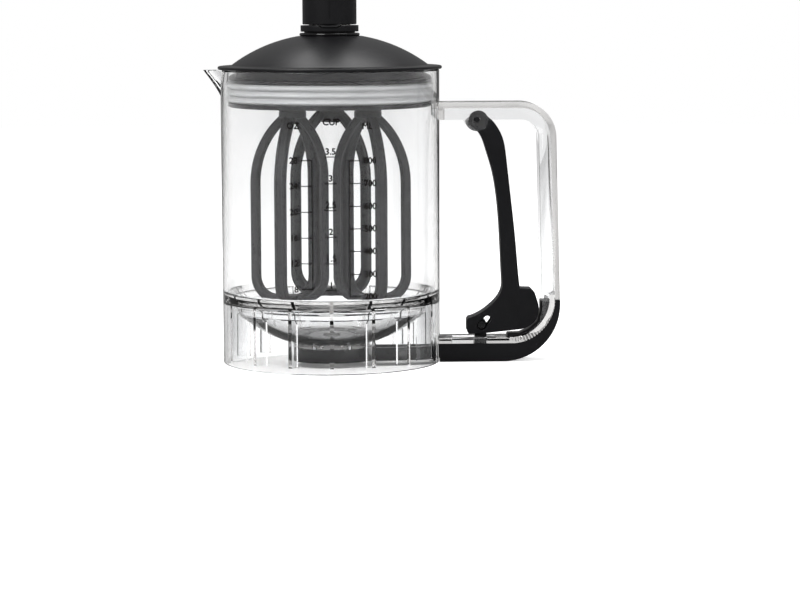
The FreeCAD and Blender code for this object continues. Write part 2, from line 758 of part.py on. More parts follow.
def spindle_angle(z):
    """Turn of the twisted bar at a height, in degrees."""
    return 360.0 * (z - shaft_top) / spindle_lead


def make_twisted_spindle():
    """Twisted flat bar on a round stub."""
    turns = (spindle_top - shaft_top) / spindle_lead
    steps = math.ceil(turns * spindle_steps_per_turn)
    half_w, half_t = spindle_width / 2, spindle_thickness / 2
    sections = []
    for i in range(steps + 1):
        z = shaft_top + (spindle_top - shaft_top) * i / steps
        corners = [V(-half_w, -half_t, z), V(half_w, -half_t, z), V(half_w, half_t, z), V(-half_w, half_t, z)]
        section = Part.makePolygon(corners + corners[:1])
        section.rotate(V(0, 0, 0), V(0, 0, 1), spindle_angle(z))
        sections.append(section)
    bar = Part.makeLoft(sections, True, True)
    return bar.fuse(Part.makeCylinder(stub_radius, shaft_top - stub_bottom, V(0, 0, stub_bottom)))


def make_spindle_bush():
    """Flanged bush in the plug's boss."""
    boss_top = plug_floor_z + plug_floor + bush_boss_height
    bush = ring(bush_radius, shaft_radius + running_gap, plug_floor_z, boss_top - plug_floor_z)
    return bush.fuse(ring(bush_flange_radius, shaft_radius + running_gap, boss_top, bush_flange)).removeSplitter()


def make_retaining_clip():
    """Clip that keeps the rotor's shaft in its bush."""
    base = plug_floor_z + plug_floor + bush_boss_height + bush_flange + slide_gap
    clip = ring(clip_radius, shaft_radius, base, clip_thickness)
    corner = V(shaft_radius - overshoot, -shaft_radius / 2, 0)
    return clip.cut(Part.makeBox(clip_radius + overshoot, shaft_radius, far, corner))


def head_places():
    """Centres of the left, right and back whisk heads."""
    return {name: (whisk_circle * math.cos(math.radians(a)), whisk_circle * math.sin(math.radians(a)))
            for name, a in (("left", 210), ("right", 330), ("back", 90))}


def make_rotor_disc():
    """Disc and shaft that turn the three whisks."""
    disc = Part.makeCylinder(rotor_radius, rotor_thickness, V(0, 0, rotor_bottom))
    disc = disc.fuse(Part.makeCylinder(shaft_radius, shaft_top - rotor_bottom, V(0, 0, rotor_bottom)))
    disc = disc.cut(Part.makeCylinder(stub_radius, far, V(0, 0, stub_bottom)))
    for x, y in head_places().values():
        disc = disc.cut(Part.makeCylinder(peg_radius, peg_height, V(x, y, rotor_bottom)))
    return disc.removeSplitter()


def arm(angle, reach):
    """One whisk arm, swept out of the hub, down and back to the foot disc."""
    points = [(arm_start_radius, arm_start_z), (reach, arm_bend_z), (reach, arm_foot_z), (arm_start_radius, arm_foot_z)]
    path = Part.Wire(rounded_edges(points, [0, arm_bend_radius, arm_foot_radius, 0], closed=False))
    start = V(points[0][0], 0, points[0][1])
    along = V(points[1][0] - points[0][0], 0, points[1][1] - points[0][1]).normalize()
    across, up = V(0, 1, 0), V(0, 1, 0).cross(along)
    w, t, c = arm_width / 2, arm_thickness / 2, arm_chamfer
    shape = [(w - c, t), (w, t - c), (w, c - t), (w - c, -t), (c - w, -t), (-w, c - t), (-w, t - c), (c - w, t)]
    corners = [start + across * a + up * b for a, b in shape]
    section = Part.makePolygon(corners + corners[:1])
    bar = path.makePipeShell([section], True, False)
    bar.rotate(V(0, 0, 0), V(0, 0, 1), angle)
    return bar


def make_whisk(place, arms, mirrored):
    """Whisk head: hub with its peg, four arms and a foot disc."""
    head = Part.makeCylinder(hub_radius, hub_height, V(0, 0, hub_top - hub_height))
    groove_z = hub_top - hub_height * hub_groove_share
    groove = ring(hub_radius + overshoot, hub_radius - hub_groove, groove_z, hub_groove)
    head = head.cut(groove).fuse(Part.makeCylinder(peg_radius, peg_height, V(0, 0, hub_top)))
    foot = Part.makeCylinder(foot_disc_radius, foot_disc_height, V(0, 0, arm_foot_z - foot_disc_height / 2))
    parts = [foot] + [arm(180 - a if mirrored else a, reach) for a, reach in arms]
    head = head.fuse(parts).removeSplitter()
    head.translate(V(place[0], place[1], 0))
    return head


def make_all():
    """Every piece by its node's name."""
    heads = head_places()
    return {
        "jar": make_jar(), "handle_frame": make_handle_frame(), "base_rail": make_base_rail(),
        "rail_screws": make_rail_screws(), "valve_slide": make_valve_slide(), "drive_pin": make_drive_pin(),
        "valve_seal": make_valve_seal(), "outlet_nozzle": make_outlet_nozzle(), "slide_spring": make_slide_spring(),
        "trigger_lever": make_trigger_lever(), "trigger_pin": make_trigger_pin(), "corner_insert": make_corner_insert(),
        "lid_dome": make_lid_dome(), "lid_plug": make_lid_plug(), "lid_seal": make_lid_seal(),
        "neck_ring": make_neck_ring(), "lock_collar": make_lock_collar(), "guide_tube": make_guide_tube(),
        "pump_sleeve": make_pump_sleeve(), "pump_cap": make_pump_cap(), "push_tube": make_push_tube(),
        "drive_nut": make_drive_nut(), "drive_washer": make_drive_washer(), "twisted_spindle": make_twisted_spindle(),
        "spindle_bush": make_spindle_bush(), "retaining_clip": make_retaining_clip(), "rotor_disc": make_rotor_disc(),
        "whisk_left": make_whisk(heads["left"], front_head_arms, False),
        "whisk_right": make_whisk(heads["right"], front_head_arms, True),
        "whisk_back": make_whisk(heads["back"], back_head_arms, False),
    }


os.makedirs("parts", exist_ok=True)
for name, shape in make_all().items():
    shape.exportStep(f"parts/{name}.step")
    print(name, shape.isValid(), len(shape.Solids), round(shape.Volume / 1000, 2), len(shape.Faces))
print("trigger range in degrees", round(trigger_angle, 3))
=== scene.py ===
"""Dresses the batter dispenser: a clear jar with a squeeze valve, a plug-in lid, a pump and three whisks."""
from __future__ import annotations

import functools
import json
import logging
import math
from dataclasses import dataclass
from enum import Enum

import bmesh
import bpy
from mathutils import Euler, Matrix, Vector

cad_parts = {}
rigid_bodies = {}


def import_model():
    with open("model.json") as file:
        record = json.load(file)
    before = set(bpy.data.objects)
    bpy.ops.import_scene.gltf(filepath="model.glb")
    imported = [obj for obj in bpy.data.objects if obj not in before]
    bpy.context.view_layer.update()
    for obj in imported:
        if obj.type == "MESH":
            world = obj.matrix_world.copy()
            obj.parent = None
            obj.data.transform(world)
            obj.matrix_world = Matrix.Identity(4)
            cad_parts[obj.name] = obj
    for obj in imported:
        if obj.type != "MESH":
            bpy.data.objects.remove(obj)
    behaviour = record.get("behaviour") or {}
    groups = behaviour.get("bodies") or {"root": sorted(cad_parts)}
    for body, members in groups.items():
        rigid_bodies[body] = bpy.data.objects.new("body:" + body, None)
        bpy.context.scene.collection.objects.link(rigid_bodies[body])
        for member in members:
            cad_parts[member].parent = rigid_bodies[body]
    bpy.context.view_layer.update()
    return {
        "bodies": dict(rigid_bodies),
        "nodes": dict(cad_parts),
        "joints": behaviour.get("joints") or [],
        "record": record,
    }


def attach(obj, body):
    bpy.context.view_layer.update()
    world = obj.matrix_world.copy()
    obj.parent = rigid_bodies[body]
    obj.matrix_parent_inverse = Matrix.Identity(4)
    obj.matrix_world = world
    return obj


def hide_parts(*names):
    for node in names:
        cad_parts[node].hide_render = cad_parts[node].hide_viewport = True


LOG = logging.getLogger("dispenser")
MM = 0.001  # a millimetre in metres; sizes are in millimetres where nothing else is said
SHARP = 32.0  # an edge that turns more than this many degrees stays sharp
WHITE = (1.0, 1.0, 1.0, 1.0)

Piece = bpy.types.Object
Material = bpy.types.Material
Form = bmesh.types.BMesh
Tree = bpy.types.NodeTree
Pair = tuple[float, float]
Triple = tuple[float, float, float]
Outline = list[tuple[float, ...]]  # points as (x, y), or as (x, y, corner radius) for a rounded corner


class Align(str, Enum):
    """Which side of a printed word keeps its place."""

    LEFT = "LEFT"
    MIDDLE = "CENTER"
    RIGHT = "RIGHT"


class Work(str, Enum):
    """What a tool does to a piece."""

    JOIN = "UNION"
    CUT = "DIFFERENCE"


class Body(str, Enum):
    """The bodies that the pieces ride on."""

    JAR = "jar_body"
    TRIGGER = "trigger"
    SLIDE = "slide"
    LID = "lid"
    PUMP = "pump"
    WHISKS = "whisks"


def linear(text: str) -> tuple[float, float, float, float]:
    """Turns an sRGB hex colour into linear red, green, blue and alpha.

    Args:
        text: Colour such as "#202124".

    Returns:
        Four linear values, with an alpha of 1.
    """
    parts = [int(text[i:i + 2], 16) / 255 for i in (1, 3, 5)]
    values = [c / 12.92 if c <= 0.04045 else ((c + 0.055) / 1.055) ** 2.4 for c in parts]
    return values[0], values[1], values[2], 1.0


def add(tree: Tree, kind: str, settings: dict | None = None, links: dict | None = None) -> bpy.types.Node:
    """Adds a node with its settings and the links that feed it.

    Args:
        tree: Tree that gets the node.
        kind: Node type, such as "ShaderNodeTexNoise".
        settings: Attribute names, or input names and numbers, with their values.
        links: Input names or numbers with what feeds them: an output socket, or a node for its first output.

    Returns:
        The new node.
    """
    node = tree.nodes.new(kind)
    for key, value in (settings or {}).items():
        if isinstance(key, str) and hasattr(node, key) and key not in node.inputs:
            setattr(node, key, value)
        else:
            node.inputs[key].default_value = value
    for key, source in (links or {}).items():
        socket = source.outputs[0] if isinstance(source, bpy.types.Node) else source
        tree.links.new(socket, node.inputs[key])
    return node


class Cloudy:
    """A new material in which a soft cloud mixes two colours, fixed to the object.

    Attributes:
        material: The material.
        tree: Its node tree.
        place: Output with the object's coordinates.
        cloud: Node with the cloud's value.
        tint: Output with the mixed colour.
    """

    def __init__(self, name: str, patch: float, colour: str, shade: str) -> None:
        """Makes the material and its first nodes.

        Args:
            name: Material's name.
            patch: Size of the cloud's patches in millimetres.
            colour: First colour as sRGB hex.
            shade: Second colour as sRGB hex.
        """
        self.material = bpy.data.materials.new(name)
        self.material.use_nodes = True
        self.tree = self.material.node_tree
        self.tree.nodes.clear()
        self.place = add(self.tree, "ShaderNodeTexCoord").outputs["Object"]
        self.cloud = add(self.tree, "ShaderNodeTexNoise", {"Scale": 1 / (patch * MM), "Detail": 3.0},
                         {"Vector": self.place})
        colours = {"data_type": "RGBA", 6: linear(colour), 7: linear(shade)}
        self.tint = add(self.tree, "ShaderNodeMix", colours, {0: self.cloud}).outputs[2]


@dataclass(frozen=True)
class Finish:
    """How one moulded, rubber or metal surface looks.

    Attributes:
        name: Material's name.
        slot: Material slot of the record, if it has one; not used.
        colour: Base colour as sRGB hex.
        shade: Second colour that a soft cloud mixes in.
        roughness: Mean roughness.
        spread: How far the roughness wanders.
        ior: Index of refraction.
        metallic: 1 for metal.
        transmission: 1 for clear plastic.
        grain: Size of the surface's texture in millimetres.
        relief: Height of that texture in millimetres.
        sheen_level: Strength of the surface's reflection, 0.5 for the one that the index gives.
        absorb: Share of light lost in each millimetre of clear plastic.
        patch: Size of the cloud's patches in millimetres.
        bump: Strength of the texture's shading.
        passing: Grey share of light that clear plastic lets through into a shadow.
        stain: Linear colour that thick clear plastic takes on.
    """

    name: str
    slot: str
    colour: str
    shade: str
    roughness: float
    spread: float = 0.04
    ior: float = 1.5
    metallic: float = 0.0
    transmission: float = 0.0
    grain: float = 0.6
    relief: float = 0.01
    sheen_level: float = 0.5
    absorb: float = 0.0
    patch: float = 14.0
    bump: float = 0.35
    passing: float = 0.93
    stain: Triple = (0.06, 0.03, 0.0)

    @functools.cache
    def material(self) -> Material:
        """Builds the procedural material, once for each finish."""
        base = Cloudy(self.name, self.patch, self.colour, self.shade)
        tree = base.tree
        grit = add(tree, "ShaderNodeTexNoise", {"Scale": 1 / (self.grain * MM), "Detail": 2.0},
                   {"Vector": base.place})
        rough = add(tree, "ShaderNodeMapRange",
                    {3: self.roughness - self.spread, 4: self.roughness + self.spread}, {0: base.cloud})
        bump = add(tree, "ShaderNodeBump", {"Strength": self.bump, "Distance": self.relief * MM},
                   {"Height": grit})
        shader = add(tree, "ShaderNodeBsdfPrincipled",
                     {"IOR": self.ior, "Metallic": self.metallic, "Transmission Weight": self.transmission,
                      "Specular IOR Level": self.sheen_level},
                     {"Base Color": base.tint, "Roughness": rough, "Normal": bump})
        surface = add(tree, "ShaderNodeOutputMaterial", None, {"Surface": shader})
        if self.absorb:
            shadow = add(tree, "ShaderNodeLightPath").outputs["Is Shadow Ray"]
            clear = add(tree, "ShaderNodeBsdfTransparent", {"Color": (self.passing,) * 3 + (1.0,)})
            lit = add(tree, "ShaderNodeMixShader", None, {0: shadow, 1: shader, 2: clear})
            depth = add(tree, "ShaderNodeVolumeAbsorption",
                        {"Color": self.stain + (1.0,), "Density": self.absorb / MM})
            tree.links.new(lit.outputs[0], surface.inputs["Surface"])
            tree.links.new(depth.outputs[0], surface.inputs["Volume"])
        return base.material


# Styrene-acrylonitrile, injection moulded in a polished tool: nearly white, sharp highlights at its edges.
CLEAR = Finish("clear_moulded_plastic", "clear_plastic", "#fbfcfd", "#ffffff", 0.02, 0.01, 1.42,
               transmission=1.0, grain=6.0, relief=0.002, absorb=0.028)
# ABS moulded in a fine spark-eroded tool: soft wide highlights on near black.
SATIN_BLACK = Finish("satin_black_abs", "black_satin", "#0d0d0f", "#141416", 0.36, grain=0.35, relief=0.012,
                     sheen_level=0.3)
# ABS from a smoother tool, on the lever and the rail: a little darker and tighter in its highlights.
RAIL_BLACK = Finish("lever_black_abs", "black_satin", "#0c0c0e", "#131315", 0.3, grain=0.3, relief=0.008,
                    sheen_level=0.25)
# Polished ABS: narrow bright streaks.
GLOSS_BLACK = Finish("gloss_black_abs", "black_gloss", "#09090a", "#0f0f11", 0.1, 0.02, grain=1.2,
                     relief=0.002, sheen_level=0.45)
# Nylon with a dry moulded skin: dark grey that lightens where it faces the light.
NYLON = Finish("dark_grey_nylon", "whisk_grey", "#242426", "#2e2e30", 0.5, 0.05, 1.53, grain=0.5,
               relief=0.012, sheen_level=0.18)
# Silicone rubber with no pigment: milky, soft sheen.
SILICONE = Finish("pale_silicone", "silicone", "#dadbdc", "#e6e7e8", 0.4, 0.05, 1.41, transmission=0.35,
                  grain=0.8, relief=0.006)
# Stainless steel wire and strip, drawn and polished.
STEEL = Finish("drawn_stainless", "steel", "#b9babc", "#c9cacc", 0.22, 0.05, metallic=1.0, grain=0.4,
               relief=0.004)
# Black acetal, moulded: the slide and its post.
BLACK_ACETAL = Finish("black_acetal", "acetal", "#0d0d0e", "#151516", 0.32, ior=1.48, relief=0.006,
                      sheen_level=0.3)
# Acetal, machined: dense white with a waxy sheen.
ACETAL = Finish("white_acetal", "acetal", "#e4e3de", "#eeede8", 0.35, ior=1.48, grain=0.7, relief=0.006)
# Screen-printed ink: thin, near black, dull.
INK = Finish("printed_ink", "", "#0e0c0b", "#151210", 0.7, 0.05, grain=0.2, relief=0.004, sheen_level=0.1)


def finished(name: str, form: Form, material: Material, sharp: float = SHARP) -> Piece:
    """Turns an edit mesh into a smooth-shaded object that keeps its sharp edges, and frees the edit mesh.

    Args:
        name: Piece's name.
        form: Edit mesh with its place in its vertices.
        material: Material for all of its faces.
        sharp: Edges that turn more than this stay sharp, in degrees.

    Returns:
        The object, linked to the scene.
    """
    form.normal_update()
    for face in form.faces:
        face.smooth, face.material_index = True, 0
    for edge in form.edges:
        edge.smooth = len(edge.link_faces) == 2 and edge.calc_face_angle(math.pi) < math.radians(sharp)
    mesh = bpy.data.meshes.new(name)
    mesh.materials.append(material)
    form.to_mesh(mesh)
    form.free()
    piece = bpy.data.objects.new(name, mesh)
    bpy.context.scene.collection.objects.link(piece)
    return piece


def solid(name: str, form: Form, material: Material) -> Piece:
    """Finishes an edit mesh as finished does, with its faces turned outwards."""
    bmesh.ops.recalc_face_normals(form, faces=form.faces)
    return finished(name, form, material)


def evaluated(piece: Piece) -> bpy.types.Mesh:
    """Bakes an object's modifiers or text into a new mesh."""
    bpy.context.view_layer.update()
    graph = bpy.context.evaluated_depsgraph_get()
    return bpy.data.meshes.new_from_object(piece.evaluated_get(graph), depsgraph=graph)


def bake(piece: Piece, sharp: float = SHARP) -> Piece:
    """Replaces a piece by one with the same name and material, and its modifiers baked in.

    Args:
        piece: Object with live modifiers.
        sharp: Edges that turn more than this stay sharp, in degrees.

    Returns:
        The baked piece.
    """
    name, material = piece.name, piece.data.materials[0]
    form = bmesh.new()
    form.from_mesh(evaluated(piece))
    bpy.data.objects.remove(piece)
    return finished(name, form, material, sharp)


def combine(base: Piece, tools: list[Piece], work: Work) -> Piece:
    """Joins tools to a piece, or cuts them from it, and bakes the result.

    Args:
        base: Piece to work on.
        tools: Objects to work with, which are then deleted.
        work: Whether they are joined or cut away.

    Returns:
        The combined piece.
    """
    for tool in tools:
        step = base.modifiers.new(tool.name, "BOOLEAN")
        step.operation, step.solver, step.object = work.value, "EXACT", tool
    base = bake(base)
    for tool in tools:
        bpy.data.objects.remove(tool)
    return base


def seat(piece: Piece, body: Body, node: str = "") -> None:
    """Puts a piece on its body.

    Args:
        piece: Piece with its place in its vertices.
        body: Body that it rides on.
        node: CAD node that it replaces, if any.
    """
    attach(piece, body.value)
    if node:
        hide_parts(node)
    LOG.info("%s: %d faces", piece.name, len(piece.data.polygons))


def rounded(corners: Outline, steps: int = 6) -> list[Pair]:
    """Rounds the corners of a closed outline.

    Args:
        corners: The outline; a point without a radius stays sharp.
        steps: Spans in each rounded corner.

    Returns:
        The outline's points.
    """
    out = []
    for i, (x, y, *bend) in enumerate(corners):
        here, radius = Vector((x, y)), bend[0] if bend else 0.0
        if radius <= 0:
            out.append((x, y))
            continue
        back = (Vector(corners[i - 1][:2]) - here).normalized()
        onward = (Vector(corners[(i + 1) % len(corners)][:2]) - here).normalized()
        half = back.angle(onward) / 2
        reach = radius / math.tan(half)
        centre = here + (back + onward).normalized() * (radius / math.sin(half))
        start, end = here + back * reach - centre, here + onward * reach - centre
        for k in range(steps + 1):
            spoke = start.lerp(end, k / steps).normalized() * radius
            out.append((centre.x + spoke.x, centre.y + spoke.y))
    return out


def arc_points(start: Pair, middle: Pair, end: Pair, steps: int) -> list[Pair]:
    """Points on the circle through three points.

    Args:
        start: First point.
        middle: Point that the arc passes.
        end: Last point.
        steps: Number of spans.

    Returns:
        The points, both ends included.
    """
    (ax, ay), (bx, by), (cx, cy) = start, middle, end
    d = 2 * (ax * (by - cy) + bx * (cy - ay) + cx * (ay - by))
    aa, bb, cc = ax * ax + ay * ay, bx * bx + by * by, cx * cx + cy * cy
    ux = (aa * (by - cy) + bb * (cy - ay) + cc * (ay - by)) / d
    uy = (aa * (cx - bx) + bb * (ax - cx) + cc * (bx - ax)) / d
    radius = math.hypot(ax - ux, ay - uy)
    first, passed, last = (math.atan2(y - uy, x - ux) for x, y in (start, middle, end))
    sweep = (last - first) % math.tau
    if (passed - first) % math.tau > sweep:
        sweep -= math.tau
    angles = [first + sweep * i / steps for i in range(steps + 1)]
    return [(ux + radius * math.cos(a), uy + radius * math.sin(a)) for a in angles]


def bridge(form: Form, low: list, high: list) -> None:
    """Joins two equal closed rings of vertices by faces."""
    for i in range(len(low)):
        j = (i + 1) % len(low)
        form.faces.new((low[i], low[j], high[j], high[i]))


def lathe(name: str, corners: Outline, material: Material, segments: int = 192) -> Piece:
    """Turns a closed outline about the jar's axis.

    Args:
        name: Piece's name.
        corners: Outline with radius for x and height for y; a point on the axis has radius 0.
        material: Material of the piece.
        segments: Steps round the axis.

    Returns:
        The turned piece.
    """
    form, rings = bmesh.new(), []
    turns = [2 * math.pi * i / segments for i in range(segments)]
    for radius, height in rounded(corners):
        r, z = radius * MM, height * MM
        places = [(r * math.cos(a), r * math.sin(a), z) for a in turns] if radius > 0 else [(0, 0, z)]
        rings.append([form.verts.new(place) for place in places])
    for low, high in zip(rings, rings[1:] + rings[:1]):
        if len(low) == len(high) > 1:
            bridge(form, low, high)
        elif len(low) != len(high):
            for i in range(segments):
                j = (i + 1) % segments
                form.faces.new((low[0], high[j], high[i]) if len(low) == 1 else (low[i], low[j], high[0]))
    return solid(name, form, material)


def turned(name: str, node: str, body: Body, finish: Finish, corners: Outline, segments: int = 192) -> None:
    """Turns an outline and seats it.

    Args:
        name: Piece's name.
        node: CAD node that it replaces.
        body: Body that it rides on.
        finish: Its finish.
        corners: Outline as for lathe.
        segments: Steps round the axis.
    """
    seat(lathe(name, corners, finish.material(), segments), body, node)


def loft(name: str, levels: list[list[Triple]], material: Material) -> Piece:
    """Skins equal rings of points as a closed solid.

    Args:
        name: Piece's name.
        levels: The rings, from one end to the other.
        material: Material of the piece.

    Returns:
        The solid.
    """
    form = bmesh.new()
    rings = [[form.verts.new(Vector(place) * MM) for place in level] for level in levels]
    for low, high in zip(rings, rings[1:]):
        bridge(form, low, high)
    form.faces.new(rings[0])
    form.faces.new(rings[-1])
    return solid(name, form, material)


def box(name: str, low: Triple, high: Triple, material: Material) -> Piece:
    """Makes a closed box.

    Args:
        name: Piece's name.
        low: Corner with the least X, Y and Z.
        high: Corner with the greatest.
        material: Material of the piece.

    Returns:
        The box.
    """
    form = bmesh.new()
    bmesh.ops.create_cube(form, size=1.0)
    for vert in form.verts:
        for axis in range(3):
            vert.co[axis] = (low[axis] if vert.co[axis] < 0 else high[axis]) * MM
    return solid(name, form, material)


class NodeArray:
    """A Geometry Nodes group with named inputs: copies on points, realized, with their material set."""

    def __init__(self, name: str, material: Material, inputs: dict[str, tuple[str, object]]) -> None:
        """Starts the group.

        Args:
            name: Name of the resulting piece.
            material: Material of the copies.
            inputs: Label of each input with its kind and its value.
        """
        self.name, self.material = name, material
        self.inputs = {**inputs, "Material": ("Material", material)}
        self.tree = bpy.data.node_groups.new(f"{name}_array", "GeometryNodeTree")
        face = self.tree.interface
        for label, (kind, _) in self.inputs.items():
            face.new_socket(label, in_out="INPUT", socket_type=f"NodeSocket{kind}")
        face.new_socket("Geometry", in_out="OUTPUT", socket_type="NodeSocketGeometry")
        self.given = add(self.tree, "NodeGroupInput").outputs

    def made(self, links: dict) -> Piece:
        """Finishes the group, runs it and bakes the result.

        Args:
            links: What feeds the points, the instance and the rotation.

        Returns:
            The baked piece.
        """
        copies = add(self.tree, "GeometryNodeInstanceOnPoints", None, links)
        real = add(self.tree, "GeometryNodeRealizeInstances", None, {0: copies})
        dressed = add(self.tree, "GeometryNodeSetMaterial", None,
                      {"Geometry": real, "Material": self.given["Material"]})
        add(self.tree, "NodeGroupOutput", None, {"Geometry": dressed})
        mesh = bpy.data.meshes.new(self.name)
        mesh.materials.append(self.material)
        carrier = bpy.data.objects.new(self.name, mesh)
        bpy.context.scene.collection.objects.link(carrier)
        step = carrier.modifiers.new("array", "NODES")
        step.node_group = self.tree
        for item in self.tree.interface.items_tree:
            if item.in_out == "INPUT":
                step[item.identifier] = self.inputs[item.name][1]
        return bake(carrier)

    @classmethod
    def polar(cls, name: str, source: Piece, count: int, first: float = 0.0) -> Piece:
        """Repeats a source evenly round the jar's axis.

        Args:
            name: Name of the resulting piece.
            source: Object to repeat, in its place for an angle of 0; it is deleted.
            count: Number of copies.
            first: Angle of the first copy in degrees.

        Returns:
            The baked piece.
        """
        group = cls(name, source.data.materials[0],
                    {"Copies": ("Int", count), "First angle": ("Float", math.radians(first)),
                     "Source": ("Object", source)})
        tree, given = group.tree, group.given
        points = add(tree, "GeometryNodeMeshLine", {"Offset": (0, 0, 0)}, {"Count": given["Copies"]})
        turn = add(tree, "ShaderNodeMath", {"operation": "DIVIDE", 0: math.tau}, {1: given["Copies"]})
        step = add(tree, "ShaderNodeMath", {"operation": "MULTIPLY_ADD"},
                   {0: add(tree, "GeometryNodeInputIndex"), 1: turn, 2: given["First angle"]})
        angle = add(tree, "ShaderNodeCombineXYZ", None, {"Z": step})
        piece = add(tree, "GeometryNodeObjectInfo", None, {"Object": given["Source"]}).outputs["Geometry"]
        made = group.made({"Points": points, "Instance": piece, "Rotation": angle})
        bpy.data.objects.remove(source)
        return made

    @classmethod
    def row(cls, name: str, size: Pair, count: int, start: Pair, end: Pair, material: Material) -> Piece:
        """Lays evenly spaced bars between two places on the flat print sheet, the XZ plane.

        Args:
            name: Name of the resulting piece.
            size: Length of a bar along X and along Z.
            count: Number of bars.
            start: Centre (x, z) of the first bar.
            end: Centre (x, z) of the last bar.
            material: Material of the bars.

        Returns:
            The baked, still flat piece.
        """
        group = cls(name, material,
                    {"Bars": ("Int", count), "Width": ("Float", size[0] * MM),
                     "Height": ("Float", size[1] * MM), "Start": ("Vector", (start[0] * MM, 0, start[1] * MM)),
                     "End": ("Vector", (end[0] * MM, 0, end[1] * MM))})
        tree, given = group.tree, group.given
        line = add(tree, "GeometryNodeMeshLine", {"mode": "END_POINTS"},
                   {"Count": given["Bars"], "Start Location": given["Start"], "Offset": given["End"]})
        bar = add(tree, "GeometryNodeMeshGrid", {"Vertices X": 7, "Vertices Y": 2},
                  {"Size X": given["Width"], "Size Y": given["Height"]})
        quarter = (math.radians(90), 0, 0)
        upright = add(tree, "GeometryNodeTransform", {"Rotation": quarter}, {"Geometry": bar})
        return group.made({"Points": line, "Instance": upright})


@dataclass(frozen=True)
class Jar:
    """Clear jar: walls and bowl turned about the axis, gussets, beak and notch.

    Attributes:
        radius: Outer radius.
        wall: Thickness of the wall.
        skirt_wall: Thickness of the skirt's wall.
        bowl_wall: Thickness of the bowl's wall.
        height: Height of the rim.
        step_top: Height where the wall steps in to the bowl.
        shelf_z: Height of the shelf inside the step.
        under_step: Heights of the step's underside, at the bowl and at the skirt.
        bowl_radius: Outer radius of the bowl.
        bowl_z: Height where the bowl's curve starts.
        bowl_inside: Radius and height half way along the bowl's inside, and at the floor's edge.
        bowl_outside: Radius and height half way along the bowl's outside.
        outlet: Radius of the hole in the floor.
        floor_z: Heights of the floor's underside and of its top.
        pad_radius: Radius of the pad that the valve is screwed to.
        pad_z: Height where the pad meets the bowl.
        spout_reach: How far the beak stands out of the wall.
        spout_drop: How far down the wall the beak runs.
        spout_half: Half of the beak's width at the rim.
        spout_foot: The beak's reach and half width at its lower end.
        spout_wall: Thickness of the beak's wall.
        spout_sunk: How far inside the jar's outer face the beak's skin starts.
        trough_root: How far inside that face the trough starts.
        trough_rise: How much higher the trough ends, as a share of the beak's wall.
        rib_count: Number of gussets under the step.
        rib_plan: Outline of a gusset, as radius and height.
        rib_half: Half of a gusset's thickness.
        notch: Two corners of the opening that the rail runs through.
    """

    radius: float = 55.25
    wall: float = 2.25
    skirt_wall: float = 2.0
    bowl_wall: float = 2.2
    height: float = 148.4
    step_top: float = 36.5
    shelf_z: float = 30.0
    under_step: Pair = (28.9, 34.3)
    bowl_radius: float = 48.3
    bowl_z: float = 26.5
    bowl_inside: tuple[Pair, Pair] = ((30.09, 17.33), (12.36, 12.2))
    bowl_outside: Pair = (35.2, 17.5)
    outlet: float = 4.5
    floor_z: Pair = (9.2, 12.2)
    pad_radius: float = 20.6
    pad_z: float = 11.6
    spout_reach: float = 9.3
    spout_drop: float = 12.8
    spout_half: float = 9.5
    spout_foot: Pair = (0.3, 1.8)
    spout_wall: float = 1.5
    spout_sunk: float = 1.2
    trough_root: float = 5.0
    trough_rise: float = 1.6
    rib_count: int = 16
    rib_plan: tuple[Pair, ...] = ((45.75, 3.0), (54.2, 3.0), (54.2, 35.3), (53.2, 35.3), (47.2, 29.4),
                                  (47.2, 25.9), (45.75, 25.2))
    rib_half: float = 0.9
    notch: tuple[Triple, Triple] = ((22, -9.05, -2), (80, 9.05, 9.2))

    def profile(self) -> Outline:
        """Closed outline of wall, step, bowl, floor, pad and skirt."""
        inner, skirt = self.radius - self.wall, self.radius - self.skirt_wall
        outer_bowl, bowl = self.bowl_radius, self.bowl_radius - self.bowl_wall
        floor, hole, pad = self.floor_z, self.outlet, self.pad_radius
        wall = [(self.radius, 0, 0.5), (self.radius, self.height, 0.7), (inner, self.height, 0.7),
                (inner, self.step_top, 2.0), (bowl, self.shelf_z, 2.0)]
        inside = arc_points((bowl, self.bowl_z), *self.bowl_inside, 20)
        base = [(hole, floor[1]), (hole, floor[0]), (pad, floor[0], 0.4)]
        outside = arc_points((pad, self.pad_z), self.bowl_outside, (outer_bowl, self.bowl_z), 20)
        step = [(outer_bowl, self.under_step[0], 1.5), (skirt, self.under_step[1], 1.5), (skirt, 0, 0.5)]
        return wall + inside + base + outside + step

    def beak(self, inset: float = 0.0, spans: int = 8, steps: int = 12) -> Piece:
        """Beak at the rim, or with an inset the trough that is cut from it.

        Args:
            inset: Thickness that the trough leaves, 0 for the beak itself.
            spans: Levels from the beak's foot to the rim.
            steps: Points across the beak, less one.

        Returns:
            The closed solid.
        """
        root = -(self.radius - (self.trough_root if inset else self.wall))
        skin, drop = self.radius - self.spout_sunk, self.spout_drop - inset * self.trough_rise
        (reach_0, half_0), levels = self.spout_foot, []
        for i in range(spans + 1):
            t = i / spans
            rise = self.height - self.spout_drop + inset * self.trough_rise + drop * t
            reach = (reach_0 + (self.spout_reach - reach_0) * t ** 1.15) - inset * (0.9 + 0.6 * t)
            half = half_0 + (self.spout_half - half_0) * t ** 0.8 - inset * (0.4 + 0.6 * t)
            ring = [(root, half, rise)]
            for u in (1 - 2 * k / steps for k in range(steps + 1)):
                lean = (1 - abs(u) ** 1.25) * (1 - 0.06 * (1 - abs(u)))
                ring.append((-skin - (reach + self.spout_sunk) * lean, half * u, rise))
            levels.append(ring + [(root, -half, rise)])
        if inset:
            levels.append([(x, y, z + 2) for x, y, z in levels[-1]])
        return loft("beak", levels, CLEAR.material())

